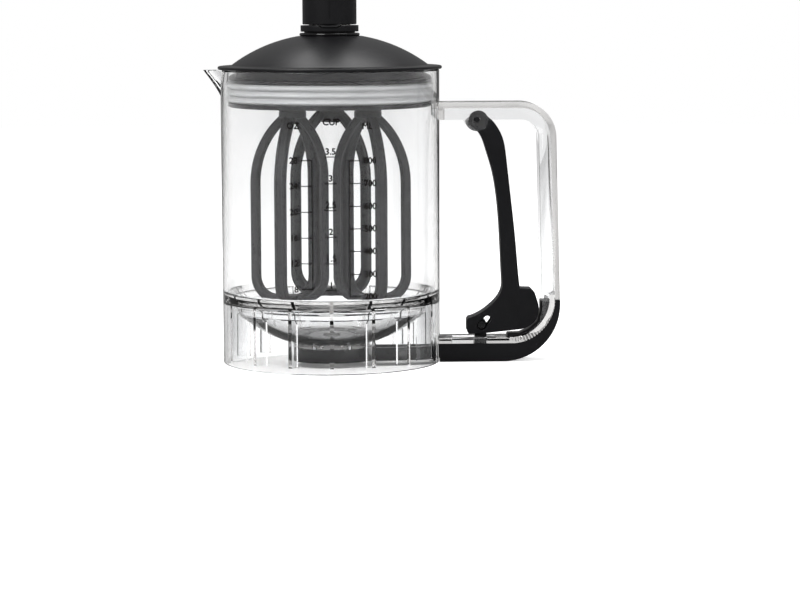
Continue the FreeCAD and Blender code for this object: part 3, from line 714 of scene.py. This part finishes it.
    def build(self) -> None:
        """Makes the jar and puts it in the CAD jar's place."""
        clear = CLEAR.material()
        body = lathe("clear_jar", self.profile(), clear, 256)
        sides = [[(r, y, z) for r, z in self.rib_plan] for y in (-self.rib_half, self.rib_half)]
        ribs = NodeArray.polar("gussets", loft("gusset", sides, clear), self.rib_count)
        body = combine(body, [ribs, self.beak()], Work.JOIN)
        body = combine(body, [self.beak(self.spout_wall), box("notch", *self.notch, clear)], Work.CUT)
        seat(body, Body.JAR, "jar")


@dataclass(frozen=True)
class Copied:
    """A piece whose CAD surface is dressed as it is: welded, with its sharp edges rounded.

    Attributes:
        node: CAD node.
        body: Body that it rides on.
        finish: Its finish.
        bevel: Width of its rounded edges, 0 for none.
        weld: Distance within which points are joined.
        flat: Faces that turn less than this are one, in degrees.
        edge: Edges that turn more than this are sharp, in degrees.
    """

    node: str
    body: Body
    finish: Finish
    bevel: float
    weld: float = 0.002
    flat: float = 0.5
    edge: float = 28.0

    def build(self, frame: dict) -> None:
        """Dresses the node and puts the piece in its place.
        """
        form = bmesh.new()
        form.from_mesh(frame["nodes"][self.node].data)
        bmesh.ops.remove_doubles(form, verts=form.verts, dist=self.weld * MM)
        flat = math.radians(self.flat)
        bmesh.ops.dissolve_limit(form, angle_limit=flat, verts=form.verts, edges=form.edges)
        piece = finished(f"{self.node}_skin", form, self.finish.material(), self.edge)
        if self.bevel:
            rounding = piece.modifiers.new("edges", "BEVEL")
            rounding.width = self.bevel * MM
            rounding.segments = 2
            rounding.limit_method = "ANGLE"
            rounding.angle_limit = math.radians(self.edge + 5)
            piece = bake(piece, self.edge + 12)
        seat(piece, self.body, self.node)


@dataclass(frozen=True)
class Copies:
    """Handle, rail, slide, lever, pins, spring and spindle, whose CAD surfaces are dressed as they are."""

    pieces: tuple[Copied, ...] = (
        Copied("handle_frame", Body.JAR, CLEAR, 0.35),
        Copied("base_rail", Body.JAR, RAIL_BLACK, 0.45),
        Copied("corner_insert", Body.JAR, RAIL_BLACK, 0.4),
        Copied("trigger_lever", Body.TRIGGER, RAIL_BLACK, 0.5),
        Copied("trigger_pin", Body.JAR, GLOSS_BLACK, 0.3),
        Copied("valve_slide", Body.SLIDE, BLACK_ACETAL, 0.2),
        Copied("drive_pin", Body.SLIDE, GLOSS_BLACK, 0.2),
        Copied("slide_spring", Body.JAR, STEEL, 0.0),
        Copied("outlet_nozzle", Body.JAR, ACETAL, 0.1),
        Copied("push_tube", Body.PUMP, ACETAL, 0.1),
        Copied("drive_nut", Body.PUMP, ACETAL, 0.2),
        Copied("drive_washer", Body.PUMP, STEEL, 0.1),
        Copied("twisted_spindle", Body.WHISKS, STEEL, 0.0),
        Copied("spindle_bush", Body.LID, ACETAL, 0.15),
        Copied("retaining_clip", Body.WHISKS, STEEL, 0.1),
    )

    def build(self, frame: dict) -> None:
        """Dresses every listed node.
        """
        for piece in self.pieces:
            piece.build(frame)


@dataclass(frozen=True)
class Lid:
    """Plug-in lid: dome, plug, ribbed seal, bead ring, locking collar and guide tube.

    Attributes:
        rim_z: Height of the jar's rim.
        rim_radius: Radius of the lid's flat rim.
        rim_height: Thickness of the flat rim.
        dome_foot: Radius where the dome starts, and its rise over the flat rim.
        dome_mid: Radius and rise of a point half way up the dome.
        dome_top: Radius and rise of the dome's end.
        shell: Thickness of the dome and of the plug's wall.
        plug_radius: Radius of the plug's wall.
        flange_radius: Radius of the two flanges that hold the seal.
        flanges: Thickness of the lower and of the upper flange.
        floor_z: Height of the plug's floor.
        opening: Radius of the recess under the floor.
        boss: Radius and height of the bush's boss.
        boss_bore: Radius of its bore.
        seal_low: Height of the seal's lower end.
        seal_high: Height of the seal's upper end.
        seal_core: Radius between the seal's ribs.
        seal_crest: Radius of the ribs' crests.
        seal_ribs: Number of ribs.
        neck: Radius of the neck and of its bore.
        neck_z: Height of the collar's foot.
        bead: Bore, radius and height of the bead ring.
        collar_radius: Radius of the collar.
        collar_height: Height of the collar.
        collar_flat: How deep its side flats are cut.
        key: Half width of the notch at its bottom and at its top, its height and its depth into the collar.
        tube: Bore, foot flange's radius, foot, flange's top and top of the guide tube.
    """

    rim_z: float = 148.4
    rim_radius: float = 56.6
    rim_height: float = 1.8
    dome_foot: Pair = (49.8, 0.5)
    dome_mid: Pair = (33.2, 11.8)
    dome_top: Pair = (16.0, 16.8)
    shell: float = 2.0
    plug_radius: float = 47.5
    flange_radius: float = 51.7
    flanges: Pair = (2.1, 1.6)
    floor_z: float = 133.8
    opening: float = 35.8
    boss: Pair = (9.0, 139.0)
    boss_bore: float = 5.0
    seal_low: float = 131.8
    seal_high: float = 142.0
    seal_core: float = 50.6
    seal_crest: float = 52.7
    seal_ribs: int = 3
    neck: Pair = (12.8, 10.5)
    neck_z: float = 167.4
    bead: Triple = (12.85, 15.2, 1.6)
    collar_radius: float = 14.85
    collar_height: float = 3.2
    collar_flat: float = 0.25
    key: tuple[float, float, float, float] = (3.9, 5.9, 1.4, 3.9)
    tube: tuple[float, ...] = (9.0, 13.0, 161.3, 163.2, 240.0)

    def dome(self) -> None:
        """Outer shell with its flat rim."""
        foot_z, top_z = self.rim_z + self.rim_height, self.rim_z + self.dome_top[1]
        foot, (mid, rise) = (self.dome_foot[0], foot_z + self.dome_foot[1]), self.dome_mid
        inner, (neck, bore) = self.plug_radius - self.shell, self.neck
        over = arc_points(foot, (mid, self.rim_z + rise), (self.dome_top[0], top_z), 40)
        under = arc_points((bore, top_z - self.shell), (mid - 1, self.rim_z + rise - self.shell),
                           (inner, self.rim_z + 1), 40)
        rim = rounded([(self.rim_radius, self.rim_z, 0.6), (self.rim_radius, foot_z, 0.7), foot])[:-1]
        outline = rim + over + [(neck, top_z), (neck, self.neck_z), (bore, self.neck_z)] + under
        turned("lid_shell", "lid_dome", Body.LID, SATIN_BLACK, outline + [(inner, self.rim_z)], 256)

    def plug(self) -> None:
        """Plug wall with its flanges, floor and bush boss."""
        low, high, floor = self.seal_low, self.seal_high, self.floor_z
        foot, flange = low - self.flanges[0], high + self.flanges[1]
        wall, inner, r = self.plug_radius, self.plug_radius - self.shell, self.flange_radius
        boss, boss_z = self.boss
        corners = [(self.opening, foot, 0.3), (r, foot, 0.5), (r, low, 0.4), (wall, low), (wall, high),
                   (r, high, 0.3), (r, flange, 0.4), (wall, flange, 0.3), (wall, self.rim_z),
                   (inner, self.rim_z), (inner, floor, 0.5), (boss, floor, 0.5), (boss, boss_z, 0.4),
                   (self.boss_bore, boss_z), (self.boss_bore, low), (self.opening, low)]
        turned("lid_plug_skin", "lid_plug", Body.LID, SATIN_BLACK, corners, 256)

    def seal(self) -> None:
        """Silicone sleeve with raised ribs."""
        core, low = self.seal_core, self.seal_low
        pitch = (self.seal_high - low) / self.seal_ribs
        corners = [(self.plug_radius, self.seal_high), (self.plug_radius, low), (core, low)]
        for i in range(self.seal_ribs):
            base = low + i * pitch
            corners += [(self.seal_crest, base + pitch * share, 0.4) for share in (0.35, 0.65)]
            corners.append((core, base + pitch, 0.3 if i < self.seal_ribs - 1 else 0))
        turned("ribbed_seal", "lid_seal", Body.LID, SILICONE, corners, 256)

    def bead_ring(self) -> None:
        """Glossy bead ring at the foot of the pump."""
        (bore, r, height), base = self.bead, self.rim_z + self.dome_top[1]
        corners = [(bore, base), (r, base, 0.75), (r, base + height, 0.75), (bore, base + height)]
        turned("bead_ring", "neck_ring", Body.LID, GLOSS_BLACK, corners)

    def collar(self) -> None:
        """Locking collar with side flats and a front notch."""
        black, bore = SATIN_BLACK.material(), self.neck[1]
        r, low, top = self.collar_radius, self.neck_z, self.neck_z + self.collar_height
        ring = lathe("collar_skin", [(bore, low), (r, low, 0.45), (r, top, 0.45), (bore, top)], black)
        narrow, wide, height, depth = self.key
        plan = ((-wide, top + 1), (-wide, top), (-narrow, top - height), (narrow, top - height), (wide, top),
                (wide, top + 1))
        tools = [loft("key_notch", [[(x, y, z) for x, z in plan] for y in (-r - 2, -r + depth)], black)]
        half = r - self.collar_flat
        for i, (near, far) in enumerate(((half, half + 4), (-half - 4, -half))):
            tools.append(box(f"flat_{i}", (near, -20, low - 1), (far, 20, top + 1), black))
        seat(combine(ring, tools, Work.CUT), Body.LID, "lock_collar")

    def guide_tube(self) -> None:
        """Tube that the pump's nut slides in, with a flange at its foot."""
        (bore, flange, foot, step, top), outer = self.tube, self.neck[1]
        corners = [(bore, foot), (flange, foot, 0.2), (flange, step), (outer, step), (outer, top, 0.4),
                   (bore, top, 0.4)]
        turned("guide_tube_skin", "guide_tube", Body.LID, ACETAL, corners)

    def build(self) -> None:
        """Makes the lid's pieces."""
        self.dome()
        self.plug()
        self.seal()
        self.bead_ring()
        self.collar()
        self.guide_tube()


@dataclass(frozen=True)
class Pump:
    """Sliding sleeve with its key and seam, and the palm cap.

    Attributes:
        radius: Radius of the sleeve.
        bore: Radius of its bore.
        bottom: Height of its foot when it is pushed down.
        length: Length of the sleeve.
        key: Half width of the key at its end and at its root, and how far it stands below the foot.
        seam: Half width and depth of the mould seam, and its distance from the foot.
        cap_radius: Radius of the palm cap.
        cap_height: Height of the palm cap.
        cap_edge: Height of the cap's widest place over the sleeve.
        crown: Radius of the cap's flat crown.
        spigot: How far the cap's spigot goes into the sleeve.
    """

    radius: float = 13.65
    bore: float = 11.0
    bottom: float = 171.0
    length: float = 76.0
    key: Triple = (3.7, 5.3, 1.2)
    seam: Triple = (0.3, 0.35, 3.2)
    cap_radius: float = 18.5
    cap_height: float = 15.0
    cap_edge: float = 6.75
    crown: float = 4.0
    spigot: float = 4.0

    def sleeve(self) -> None:
        """Tube with the locking key at its foot and a mould seam at the front."""
        black = SATIN_BLACK.material()
        r, low, top = self.radius, self.bottom, self.bottom + self.length
        corners = [(self.bore, low, 0.3), (r, low, 0.5), (r, top, 0.3), (self.bore, top)]
        tube = lathe("sleeve_skin", corners, black)
        narrow, wide, drop = self.key
        plan = ((-wide, low + 1), (-wide, low - 0.1), (-narrow, low - drop), (narrow, low - drop),
                (wide, low - 0.1), (wide, low + 1))
        faces = [[(x, -math.sqrt(d * d - x * x), z) for x, z in plan] for d in (r - 0.02, self.bore + 0.3)]
        tube = combine(tube, [loft("key", faces, black)], Work.JOIN)
        half, depth, above = self.seam
        seam = box("seam", (-half, -r - 1, low + above), (half, -r + depth, top + 1), black)
        seat(combine(tube, [seam], Work.CUT), Body.PUMP, "pump_sleeve")

    def cap(self) -> None:
        """Domed palm cap with the spigot that closes the sleeve."""
        base = self.bottom + self.length
        top, r, edge, spigot = base + self.cap_height, self.cap_radius, base + self.cap_edge, self.bore - 0.02
        lower = arc_points((self.radius, base), (r * 0.93, base + 3.04), (r, edge), 12)
        upper = arc_points((r, edge), (r * 0.7, top - 1.95), (self.crown, top), 28)
        foot = [(0, base - self.spigot), (spigot, base - self.spigot), (spigot, base)]
        turned("palm_cap", "pump_cap", Body.PUMP, SATIN_BLACK, foot + lower + upper[1:] + [(0, top)])

    def build(self) -> None:
        """Makes the pump's visible pieces."""
        self.sleeve()
        self.cap()


@dataclass(frozen=True)
class Whisks:
    """Rotor disc and three whisk heads with grooved arms.

    Attributes:
        circle: Radius on which the heads stand.
        hub_radius: Radius of a head's hub.
        hub_top: Height of the hub's top.
        hub_height: Height of the hub.
        hub_groove: Depth of the groove round the hub, and its lower and upper edge over the hub's foot.
        peg: Radius and height of the peg on the hub.
        neck_radius: Radius of the back head's neck, under its hub.
        back_neck_z: Height of that neck's lower end.
        arm_width: Width of an arm.
        arm_thickness: Thickness of an arm.
        arm_root: Reach and height of an arm's first two points, inside the hub.
        bend_z: Height of the shoulder.
        bend: Radius of the shoulder.
        foot_z: Height of the foot.
        foot_bend: Radius of the bend at the foot.
        knob: Radius, lower and upper height of the knob at the foot.
        disc: Radius, lower and upper height of the rotor disc.
        hub: Radius and height of the rotor's own hub.
        front_arms: Direction in degrees and reach of each arm of a front head.
        back_arms: The same for the back head.
    """

    circle: float = 21.8
    hub_radius: float = 6.9
    hub_top: float = 129.4
    hub_height: float = 6.2
    hub_groove: Triple = (0.4, 2.95, 3.25)
    peg: Pair = (3.5, 1.5)
    neck_radius: float = 5.4
    back_neck_z: float = 118.4
    arm_width: float = 5.7
    arm_thickness: float = 4.0
    arm_root: tuple[Pair, Pair] = ((1.4, 125.6), (3.2, 124.4))
    bend_z: float = 108.8
    bend: float = 42.0
    foot_z: float = 33.0
    foot_bend: float = 11.0
    knob: Triple = (5.2, 31.0, 35.0)
    disc: Triple = (35.0, 129.4, 131.4)
    hub: Pair = (3.0, 142.0)
    front_arms: tuple[Pair, ...] = ((160.0, 20.4), (253.0, 20.4), (49.7, 15.8), (10.3, 15.8))
    back_arms: tuple[Pair, ...] = ((27.0, 20.4), (153.0, 20.4), (207.0, 20.4), (333.0, 20.4))

    def section(self) -> list[Pair]:
        """Section of an arm: a flat bar with a shallow groove along each broad side."""
        w, t = self.arm_width / 2, self.arm_thickness / 2
        side = [(w, 0.0), (w, t - 0.9), (w - 0.3, t - 0.3), (w - 0.9, t), (w - 1.5, t), (w - 1.8, t - 0.35),
                (0.0, t - 0.4)]
        upper = side + [(-x, y) for x, y in side[-2::-1]]
        return upper + [(x, -y) for x, y in upper[-2:0:-1]]

    def arm(self, name: str, angle: float, reach: float) -> Piece:
        """Sweeps one arm out of the hub, down and back to the foot.

        Args:
            name: Name of the piece.
            angle: The arm's direction in degrees.
            reach: How far it stands out.

        Returns:
            The closed arm.
        """
        corners = [*self.arm_root, (reach, self.bend_z, self.bend), (reach, self.foot_z, self.foot_bend),
                   (2.0, self.foot_z)]
        path = [Vector(point) for point in rounded(corners, 14)]
        form, rings = bmesh.new(), []
        for i, here in enumerate(path):
            ahead = (path[min(i + 1, len(path) - 1)] - path[max(i - 1, 0)]).normalized()
            places = [(here.x - ahead.y * b, a, here.y + ahead.x * b) for a, b in self.section()]
            rings.append([form.verts.new(Vector(place) * MM) for place in places])
        for low, high in zip(rings, rings[1:]):
            bridge(form, low, high)
        form.faces.new(rings[0])
        form.faces.new(rings[-1])
        turn = Matrix.Rotation(math.radians(angle), 3, "Z")
        bmesh.ops.rotate(form, verts=form.verts, cent=(0, 0, 0), matrix=turn)
        return solid(name, form, NYLON.material())

    def head(self, name: str, node: str, heading: float, arms: tuple[Pair, ...],
             neck_z: float | None = None) -> None:
        """One whisk head at its place on the rotor.

        Args:
            name: Name of the piece.
            node: CAD node that it stands for.
            heading: Direction of the head from the jar's axis, in degrees.
            arms: Direction and reach of each arm.
            neck_z: Height of the lower end of a narrower neck under the hub, or None for a head without one.
        """
        grey, r, top = NYLON.material(), self.hub_radius, self.hub_top
        low, (depth, groove_low, groove_top), (peg, rise) = top - self.hub_height, self.hub_groove, self.peg
        hub = lathe(name, [(0, low), (r, low, 0.8), (r, low + groove_low - 0.05, 0.15),
                           (r - depth, low + groove_low), (r - depth, low + groove_top),
                           (r, low + groove_top + 0.05, 0.15), (r, top, 0.3), (peg, top), (peg, top + rise),
                           (0, top + rise)], grey, 72)
        knob, foot, crest = self.knob
        outline = [(0, foot), (knob, foot, 0.8), (knob, crest, 0.8), (0, crest)]
        tools = [lathe(f"{name}_foot", outline, grey, 64)]
        if neck_z is not None:
            neck, end = self.neck_radius, low + 1
            outline = [(0, neck_z), (neck, neck_z, 0.7), (neck, end), (0, end)]
            tools.append(lathe(f"{name}_neck", outline, grey, 64))
        tools += [self.arm(f"{name}_arm{i}", angle, reach) for i, (angle, reach) in enumerate(arms)]
        head = combine(hub, tools, Work.JOIN)
        turn = math.radians(heading)
        for vert in head.data.vertices:
            vert.co += Vector((math.cos(turn), math.sin(turn), 0)) * self.circle * MM
        seat(head, Body.WHISKS, node)

    def build(self) -> None:
        """Makes the rotor disc and the three heads."""
        (r, low, high), (hub, top) = self.disc, self.hub
        disc = [(0, low), (r, low, 0.4), (r, high, 0.3), (hub, high), (hub, top, 0.3), (0, top)]
        turned("rotor_skin", "rotor_disc", Body.WHISKS, SATIN_BLACK, disc)
        mirrored = tuple((180 - angle, reach) for angle, reach in self.front_arms)
        self.head("whisk_head_left", "whisk_left", 210.0, self.front_arms)
        self.head("whisk_head_right", "whisk_right", 330.0, mirrored)
        self.head("whisk_head_back", "whisk_back", 90.0, self.back_arms, self.back_neck_z)


@dataclass(frozen=True)
class Valve:
    """Silicone ring of the valve and the four screws of the rail.

    Attributes:
        ring: Bore, radius, foot and top of the silicone ring.
        screw_circle: Radius on which the screws stand.
        screw: Outline of a screw, as radius and height.
        slot_low: Lower corner of one of the two crossed slots in its head.
        slot_high: Upper corner of that slot.
        places: Places for screws round the circle; the two on the X axis, where the slide runs, stay empty.
        first: Angle of the first screw in degrees.
    """

    ring: tuple[float, float, float, float] = (4.5, 12.0, 6.6, 9.2)
    screw_circle: float = 16.3
    screw: tuple[tuple[float, ...], ...] = ((0, 2.5), (2.5, 2.5, 0.5), (2.5, 3.9, 0.1), (1.3, 3.9),
                                            (1.3, 10.8, 0.3), (0, 10.8))
    slot_low: Triple = (-1.6, -0.25, 2.0)
    slot_high: Triple = (1.6, 0.25, 3.2)
    places: int = 6
    first: float = 60.0

    def build(self) -> None:
        """Makes the seal and the screws."""
        bore, r, foot, top = self.ring
        corners = [(bore, foot, 0.3), (r, foot, 0.3), (r, top), (bore, top)]
        turned("valve_ring", "valve_seal", Body.JAR, SILICONE, corners)
        steel = STEEL.material()
        (ax, ay, az), (bx, by, bz) = self.slot_low, self.slot_high
        slots = [box("drive0", self.slot_low, self.slot_high, steel),
                 box("drive1", (ay, ax, az), (by, bx, bz), steel)]
        screw = combine(lathe("screw", list(self.screw), steel, 32), slots, Work.CUT)
        for vert in screw.data.vertices:
            vert.co.x += self.screw_circle * MM
        screws = NodeArray.polar("rail_screws_skin", screw, self.places, self.first)
        form = bmesh.new()
        form.from_mesh(screws.data)
        strays = [v for v in form.verts if abs(v.co.y) < 5 * MM]
        bmesh.ops.delete(form, geom=strays, context="VERTS")
        form.to_mesh(screws.data)
        form.free()
        seat(screws, Body.JAR, "rail_screws")


@dataclass(frozen=True)
class Scale:
    """One printed scale on the jar's front.

    Attributes:
        heading: Word over the scale, the X of its middle and its height.
        align: Which side of the numerals stands at their X.
        text_x: X of the numerals.
        marks: Numerals with their heights.
        tick: X of the ticks' middle, and their length.
        over: How far the numerals stand over their ticks.
        line_x: X of the upright line from the lowest to the highest tick, if there is one.
    """

    heading: tuple[str, float, float]
    align: Align
    text_x: float
    marks: tuple[tuple[str, float], ...]
    tick: Pair
    over: float = 0.0
    line_x: float | None = None


@dataclass(frozen=True)
class Print:
    """Generic measuring scales, printed on the front of the jar.

    Attributes:
        radius: Radius of the jar's wall.
        lift: Height of the ink's face above the wall.
        letter: Height of the capitals.
        capital: Height of a capital as a share of the letters' size.
        weight: How much the strokes are fattened on each side.
        stroke: Thickness of a tick and of the upright line.
        bar: Height of one of the line's pieces, and their number.
        scales: The printed scales.
    """

    radius: float = 55.25
    lift: float = 0.04
    letter: float = 3.0
    capital: float = 0.69
    weight: float = 0.14
    stroke: float = 0.45
    bar: tuple[float, int] = (0.47, 160)
    scales: tuple[Scale, ...] = (
        Scale(("OZ", -18.6, 122.6), Align.RIGHT, -16.3,
              (("28", 105.7), ("24", 93.2), ("20", 80.5), ("16", 67.8), ("12", 55.2), ("8", 42.5)),
              (-11.95, 5.5), line_x=-9.2),
        Scale(("CUP", 0.4, 124.5), Align.MIDDLE, 0.0,
              (("3.5", 107.5), ("3", 94.4), ("2.5", 81.3), ("2", 68.3), ("1.5", 55.2), ("1", 42.0)),
              (0.0, 5.8), over=2.7),
        Scale(("ML", 18.4, 122.4), Align.LEFT, 16.5,
              (("800", 105.5), ("700", 94.4), ("600", 83.2), ("500", 72.2), ("400", 61.1), ("300", 49.8),
               ("200", 38.8)), (11.9, 5.4), line_x=9.2),
    )

    def words(self, form: Form, text: str, x: float, z: float, align: Align) -> None:
        """Adds flat letters in the XZ plane, fattened by shifted copies.

        Args:
            form: Edit mesh that gets them.
            text: The letters.
            x: Their place across.
            z: Height of their middle.
            align: Which of their sides stands there.
        """
        curve = bpy.data.curves.new("words", "FONT")
        curve.body, curve.align_x, curve.resolution_u = text, align.value, 4
        curve.size = self.letter * MM / self.capital
        holder = bpy.data.objects.new("words", curve)
        bpy.context.scene.collection.objects.link(holder)
        mesh = evaluated(holder)
        bpy.data.objects.remove(holder)
        for vert in mesh.vertices:
            vert.co = Vector((vert.co.x + x * MM, 0, vert.co.y + (z - self.letter / 2) * MM))
        for across, up in ((0, 0), (self.weight, 0), (-self.weight, 0), (0, self.weight), (0, -self.weight)):
            mesh.transform(Matrix.Translation((across * MM, 0, up * MM)))
            form.from_mesh(mesh)
            mesh.transform(Matrix.Translation((-across * MM, 0, -up * MM)))
        bpy.data.meshes.remove(mesh)

    def bars(self, form: Form, size: Pair, count: int, start: Pair, end: Pair) -> None:
        """Adds a row of bars: size, number and first and last centre as for NodeArray.row."""
        mesh = NodeArray.row("bars", size, count, start, end, INK.material()).data
        form.from_mesh(mesh)
        bpy.data.meshes.remove(mesh)

    def wrap(self, form: Form) -> None:
        """Bends the flat print round the jar's front, facing outwards."""
        reach = (self.radius + self.lift) * MM
        for vert in form.verts:
            angle = vert.co.x / (self.radius * MM)
            vert.co = Vector((reach * math.sin(angle), -reach * math.cos(angle), vert.co.z))
        for face in form.faces:
            face.normal_update()
            middle = face.calc_center_median()
            if face.normal.dot(Vector((middle.x, middle.y, 0))) < 0:
                face.normal_flip()

    def build(self) -> None:
        """Prints the scales as one piece."""
        form = bmesh.new()
        for scale in self.scales:
            self.words(form, *scale.heading, Align.MIDDLE)
            for text, height in scale.marks:
                self.words(form, text, scale.text_x, height + scale.over, scale.align)
            x, length = scale.tick
            heights = [height for _, height in scale.marks]
            for height in heights:
                self.bars(form, (length, self.stroke), 1, (x, height), (x, height))
            if scale.line_x is not None:
                ends = (scale.line_x, min(heights)), (scale.line_x, max(heights))
                self.bars(form, (self.stroke, self.bar[0]), self.bar[1], *ends)
        self.wrap(form)
        seat(finished("printed_scale", form, INK.material(), 180), Body.JAR)


@dataclass(frozen=True)
class Light:
    """A soft area light.

    Attributes:
        name: Its name.
        place: Position in metres.
        aim: Point that it faces, in metres.
        size: Width and height in metres.
        power: Watts.
        mirrored: True if it shows in reflections.
    """

    name: str
    place: Triple
    aim: Triple
    size: Pair
    power: float
    mirrored: bool = True


@dataclass(frozen=True)
class Studio:
    """White table, soft lights and the camera that matches the photograph.

    Attributes:
        camera_place: Camera's position in metres.
        yaw: Turn towards +X in degrees.
        pitch: Tilt down in degrees.
        roll: Roll in degrees.
        lens: Focal length on the sensor.
        sensor: Width of the sensor.
        clip: Nearest and farthest distance that the camera shows, in metres.
        table: Radius of the table in metres.
        drop: How far the table lies under the object.
        paper_colours: The two colours of the paper as sRGB hex.
        mirrored_paper: Colour of the paper in reflections.
        patch: Size of the paper's soft patches.
        glow: Brightness of the paper that the camera sees.
        ambient: Strength of the world as a light.
        mirrored: Share of the white background that reflections see at eye level.
        overhead: The same straight above the object.
        dawn: Heights on the world's unit sphere between which the one turns into the other.
        through: Share of the table's own glow that shows through clear plastic.
        lights: The area lights.
    """

    camera_place: Triple = (0.0, -1.344, 0.188)
    yaw: float = 1.49
    pitch: float = 6.67
    roll: float = 0.25
    lens: float = 119.25
    sensor: float = 36.0
    clip: Pair = (0.05, 20.0)
    table: float = 2.4
    drop: float = 0.2
    paper_colours: tuple[str, str] = ("#f4f4f4", "#fafafa")
    mirrored_paper: str = "#7a7a7a"
    patch: float = 25.0
    glow: float = 1.02
    ambient: float = 0.5
    mirrored: float = 0.2
    overhead: float = 0.45
    dawn: Pair = (0.05, 0.8)
    through: float = 0.25
    lights: tuple[Light, ...] = (
        Light("key", (-0.75, -0.9, 1.05), (0, 0, 0.12), (0.7, 0.7), 16.0),
        Light("fill", (0.95, -0.7, 0.6), (0, 0, 0.1), (0.5, 0.9), 7.0, False),
        Light("top", (0.1, 0.25, 1.2), (0, 0, 0.1), (0.9, 0.6), 9.0),
    )

    @staticmethod
    def seen(tree: Tree, rays: bpy.types.bpy_prop_collection, through: bpy.types.Node) -> bpy.types.Node:
        """Share of a background that a ray sees: all for a camera ray, and none after a diffuse bounce.

        Args:
            tree: Tree that gets the nodes.
            rays: Outputs of its light path node.
            through: Node with the share for other rays.

        Returns:
            Node with the share.
        """
        straight = add(tree, "ShaderNodeMath", {"operation": "MAXIMUM"},
                       {0: rays["Is Camera Ray"], 1: through})
        direct = add(tree, "ShaderNodeMath", {"operation": "LESS_THAN", 1: 0.5}, {0: rays["Diffuse Depth"]})
        return add(tree, "ShaderNodeMath", {"operation": "MULTIPLY"}, {0: straight, 1: direct})

    def paper(self) -> Material:
        """Paper that takes shadows: white to the camera, grey in reflections and through clear plastic."""
        base = Cloudy("white_paper", self.patch, *self.paper_colours)
        tree = base.tree
        rays = add(tree, "ShaderNodeLightPath").outputs
        through = add(tree, "ShaderNodeMath", {"operation": "MULTIPLY", 1: self.through},
                      {0: rays["Is Transmission Ray"]})
        glow = add(tree, "ShaderNodeMath", {"operation": "MULTIPLY", 1: self.glow - self.ambient},
                   {0: self.seen(tree, rays, through)})
        mirror = add(tree, "ShaderNodeMath", {"operation": "GREATER_THAN"},
                     {0: rays["Is Glossy Ray"], 1: rays["Is Transmission Ray"]})
        dim = add(tree, "ShaderNodeMix", {"data_type": "RGBA", 7: linear(self.mirrored_paper)},
                  {0: mirror, 6: base.tint}).outputs[2]
        matt = add(tree, "ShaderNodeBsdfDiffuse", None, {"Color": dim})
        light = add(tree, "ShaderNodeEmission", {"Color": WHITE}, {"Strength": glow})
        both = add(tree, "ShaderNodeAddShader", None, {0: matt, 1: light})
        add(tree, "ShaderNodeOutputMaterial", None, {"Surface": both})
        return base.material

    def floor(self) -> None:
        """Round white table under the object."""
        form = bmesh.new()
        bmesh.ops.create_circle(form, cap_ends=True, segments=96, radius=self.table)
        for vert in form.verts:
            vert.co.z = -self.drop * MM
        solid("table_top", form, self.paper())

    def world(self) -> None:
        """World that is white to the camera and through clear plastic, dim in reflections and as a light."""
        world = bpy.data.worlds.new("studio")
        bpy.context.scene.world = world
        world.use_nodes = True
        tree = world.node_tree
        tree.nodes.clear()
        rays = add(tree, "ShaderNodeLightPath").outputs
        toward = add(tree, "ShaderNodeTexCoord").outputs["Generated"]
        height = add(tree, "ShaderNodeSeparateXYZ", None, {0: toward}).outputs["Z"]
        rise = add(tree, "ShaderNodeMapRange",
                   {1: self.dawn[0], 2: self.dawn[1], 3: self.mirrored, 4: self.overhead}, {0: height})
        mirror = add(tree, "ShaderNodeMath", {"operation": "MULTIPLY"}, {0: rise, 1: rays["Is Glossy Ray"]})
        through = add(tree, "ShaderNodeMath", {"operation": "MAXIMUM"},
                      {0: mirror, 1: rays["Is Transmission Ray"]})
        bright = add(tree, "ShaderNodeBackground", {"Color": WHITE, "Strength": 1.0})
        matt = add(tree, "ShaderNodeMath", {"operation": "SUBTRACT", 0: 1.0}, {1: rays["Is Glossy Ray"]})
        level = add(tree, "ShaderNodeMath", {"operation": "MULTIPLY", 1: self.ambient}, {0: matt})
        soft = add(tree, "ShaderNodeBackground", {"Color": WHITE}, {"Strength": level})
        mix = add(tree, "ShaderNodeMixShader", None, {0: self.seen(tree, rays, through), 1: soft, 2: bright})
        add(tree, "ShaderNodeOutputWorld", None, {"Surface": mix})

    def shine(self) -> None:
        """Makes the area lights."""
        for light in self.lights:
            data = bpy.data.lights.new(light.name, "AREA")
            data.shape, data.energy = "RECTANGLE", light.power
            data.size, data.size_y = light.size
            lamp = bpy.data.objects.new(light.name, data)
            lamp.location = light.place
            ray = Vector(light.aim) - Vector(light.place)
            lamp.rotation_euler = ray.to_track_quat("-Z", "Y").to_euler()
            lamp.visible_glossy = light.mirrored
            bpy.context.scene.collection.objects.link(lamp)

    def shoot(self) -> None:
        """Places the camera."""
        data = bpy.data.cameras.new("camera")
        data.lens, data.sensor_width = self.lens, self.sensor
        data.clip_start, data.clip_end = self.clip
        camera = bpy.data.objects.new("camera", data)
        camera.location = self.camera_place
        facing = Euler((math.radians(90 - self.pitch), 0, math.radians(-self.yaw)), "XYZ").to_matrix()
        tilt = Matrix.Rotation(math.radians(self.roll), 3, "Z").inverted()
        camera.rotation_euler = (facing @ tilt).to_euler()
        bpy.context.scene.collection.objects.link(camera)
        bpy.context.scene.camera = camera

    def build(self) -> None:
        """Sets up the whole studio."""
        self.floor()
        self.world()
        self.shine()
        self.shoot()
        bpy.context.scene.view_settings.view_transform = "Standard"


def main() -> None:
    """Loads the frame, dresses every body in order and sets up the studio."""
    logging.basicConfig(level=logging.INFO, format="%(name)s: %(message)s")
    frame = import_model()
    for assembly in (Jar(), Print(), Valve()):
        assembly.build()
    Copies().build(frame)
    for assembly in (Lid(), Pump(), Whisks(), Studio()):
        assembly.build()
    bpy.context.view_layer.update()


if __name__ == "__main__":
    main()
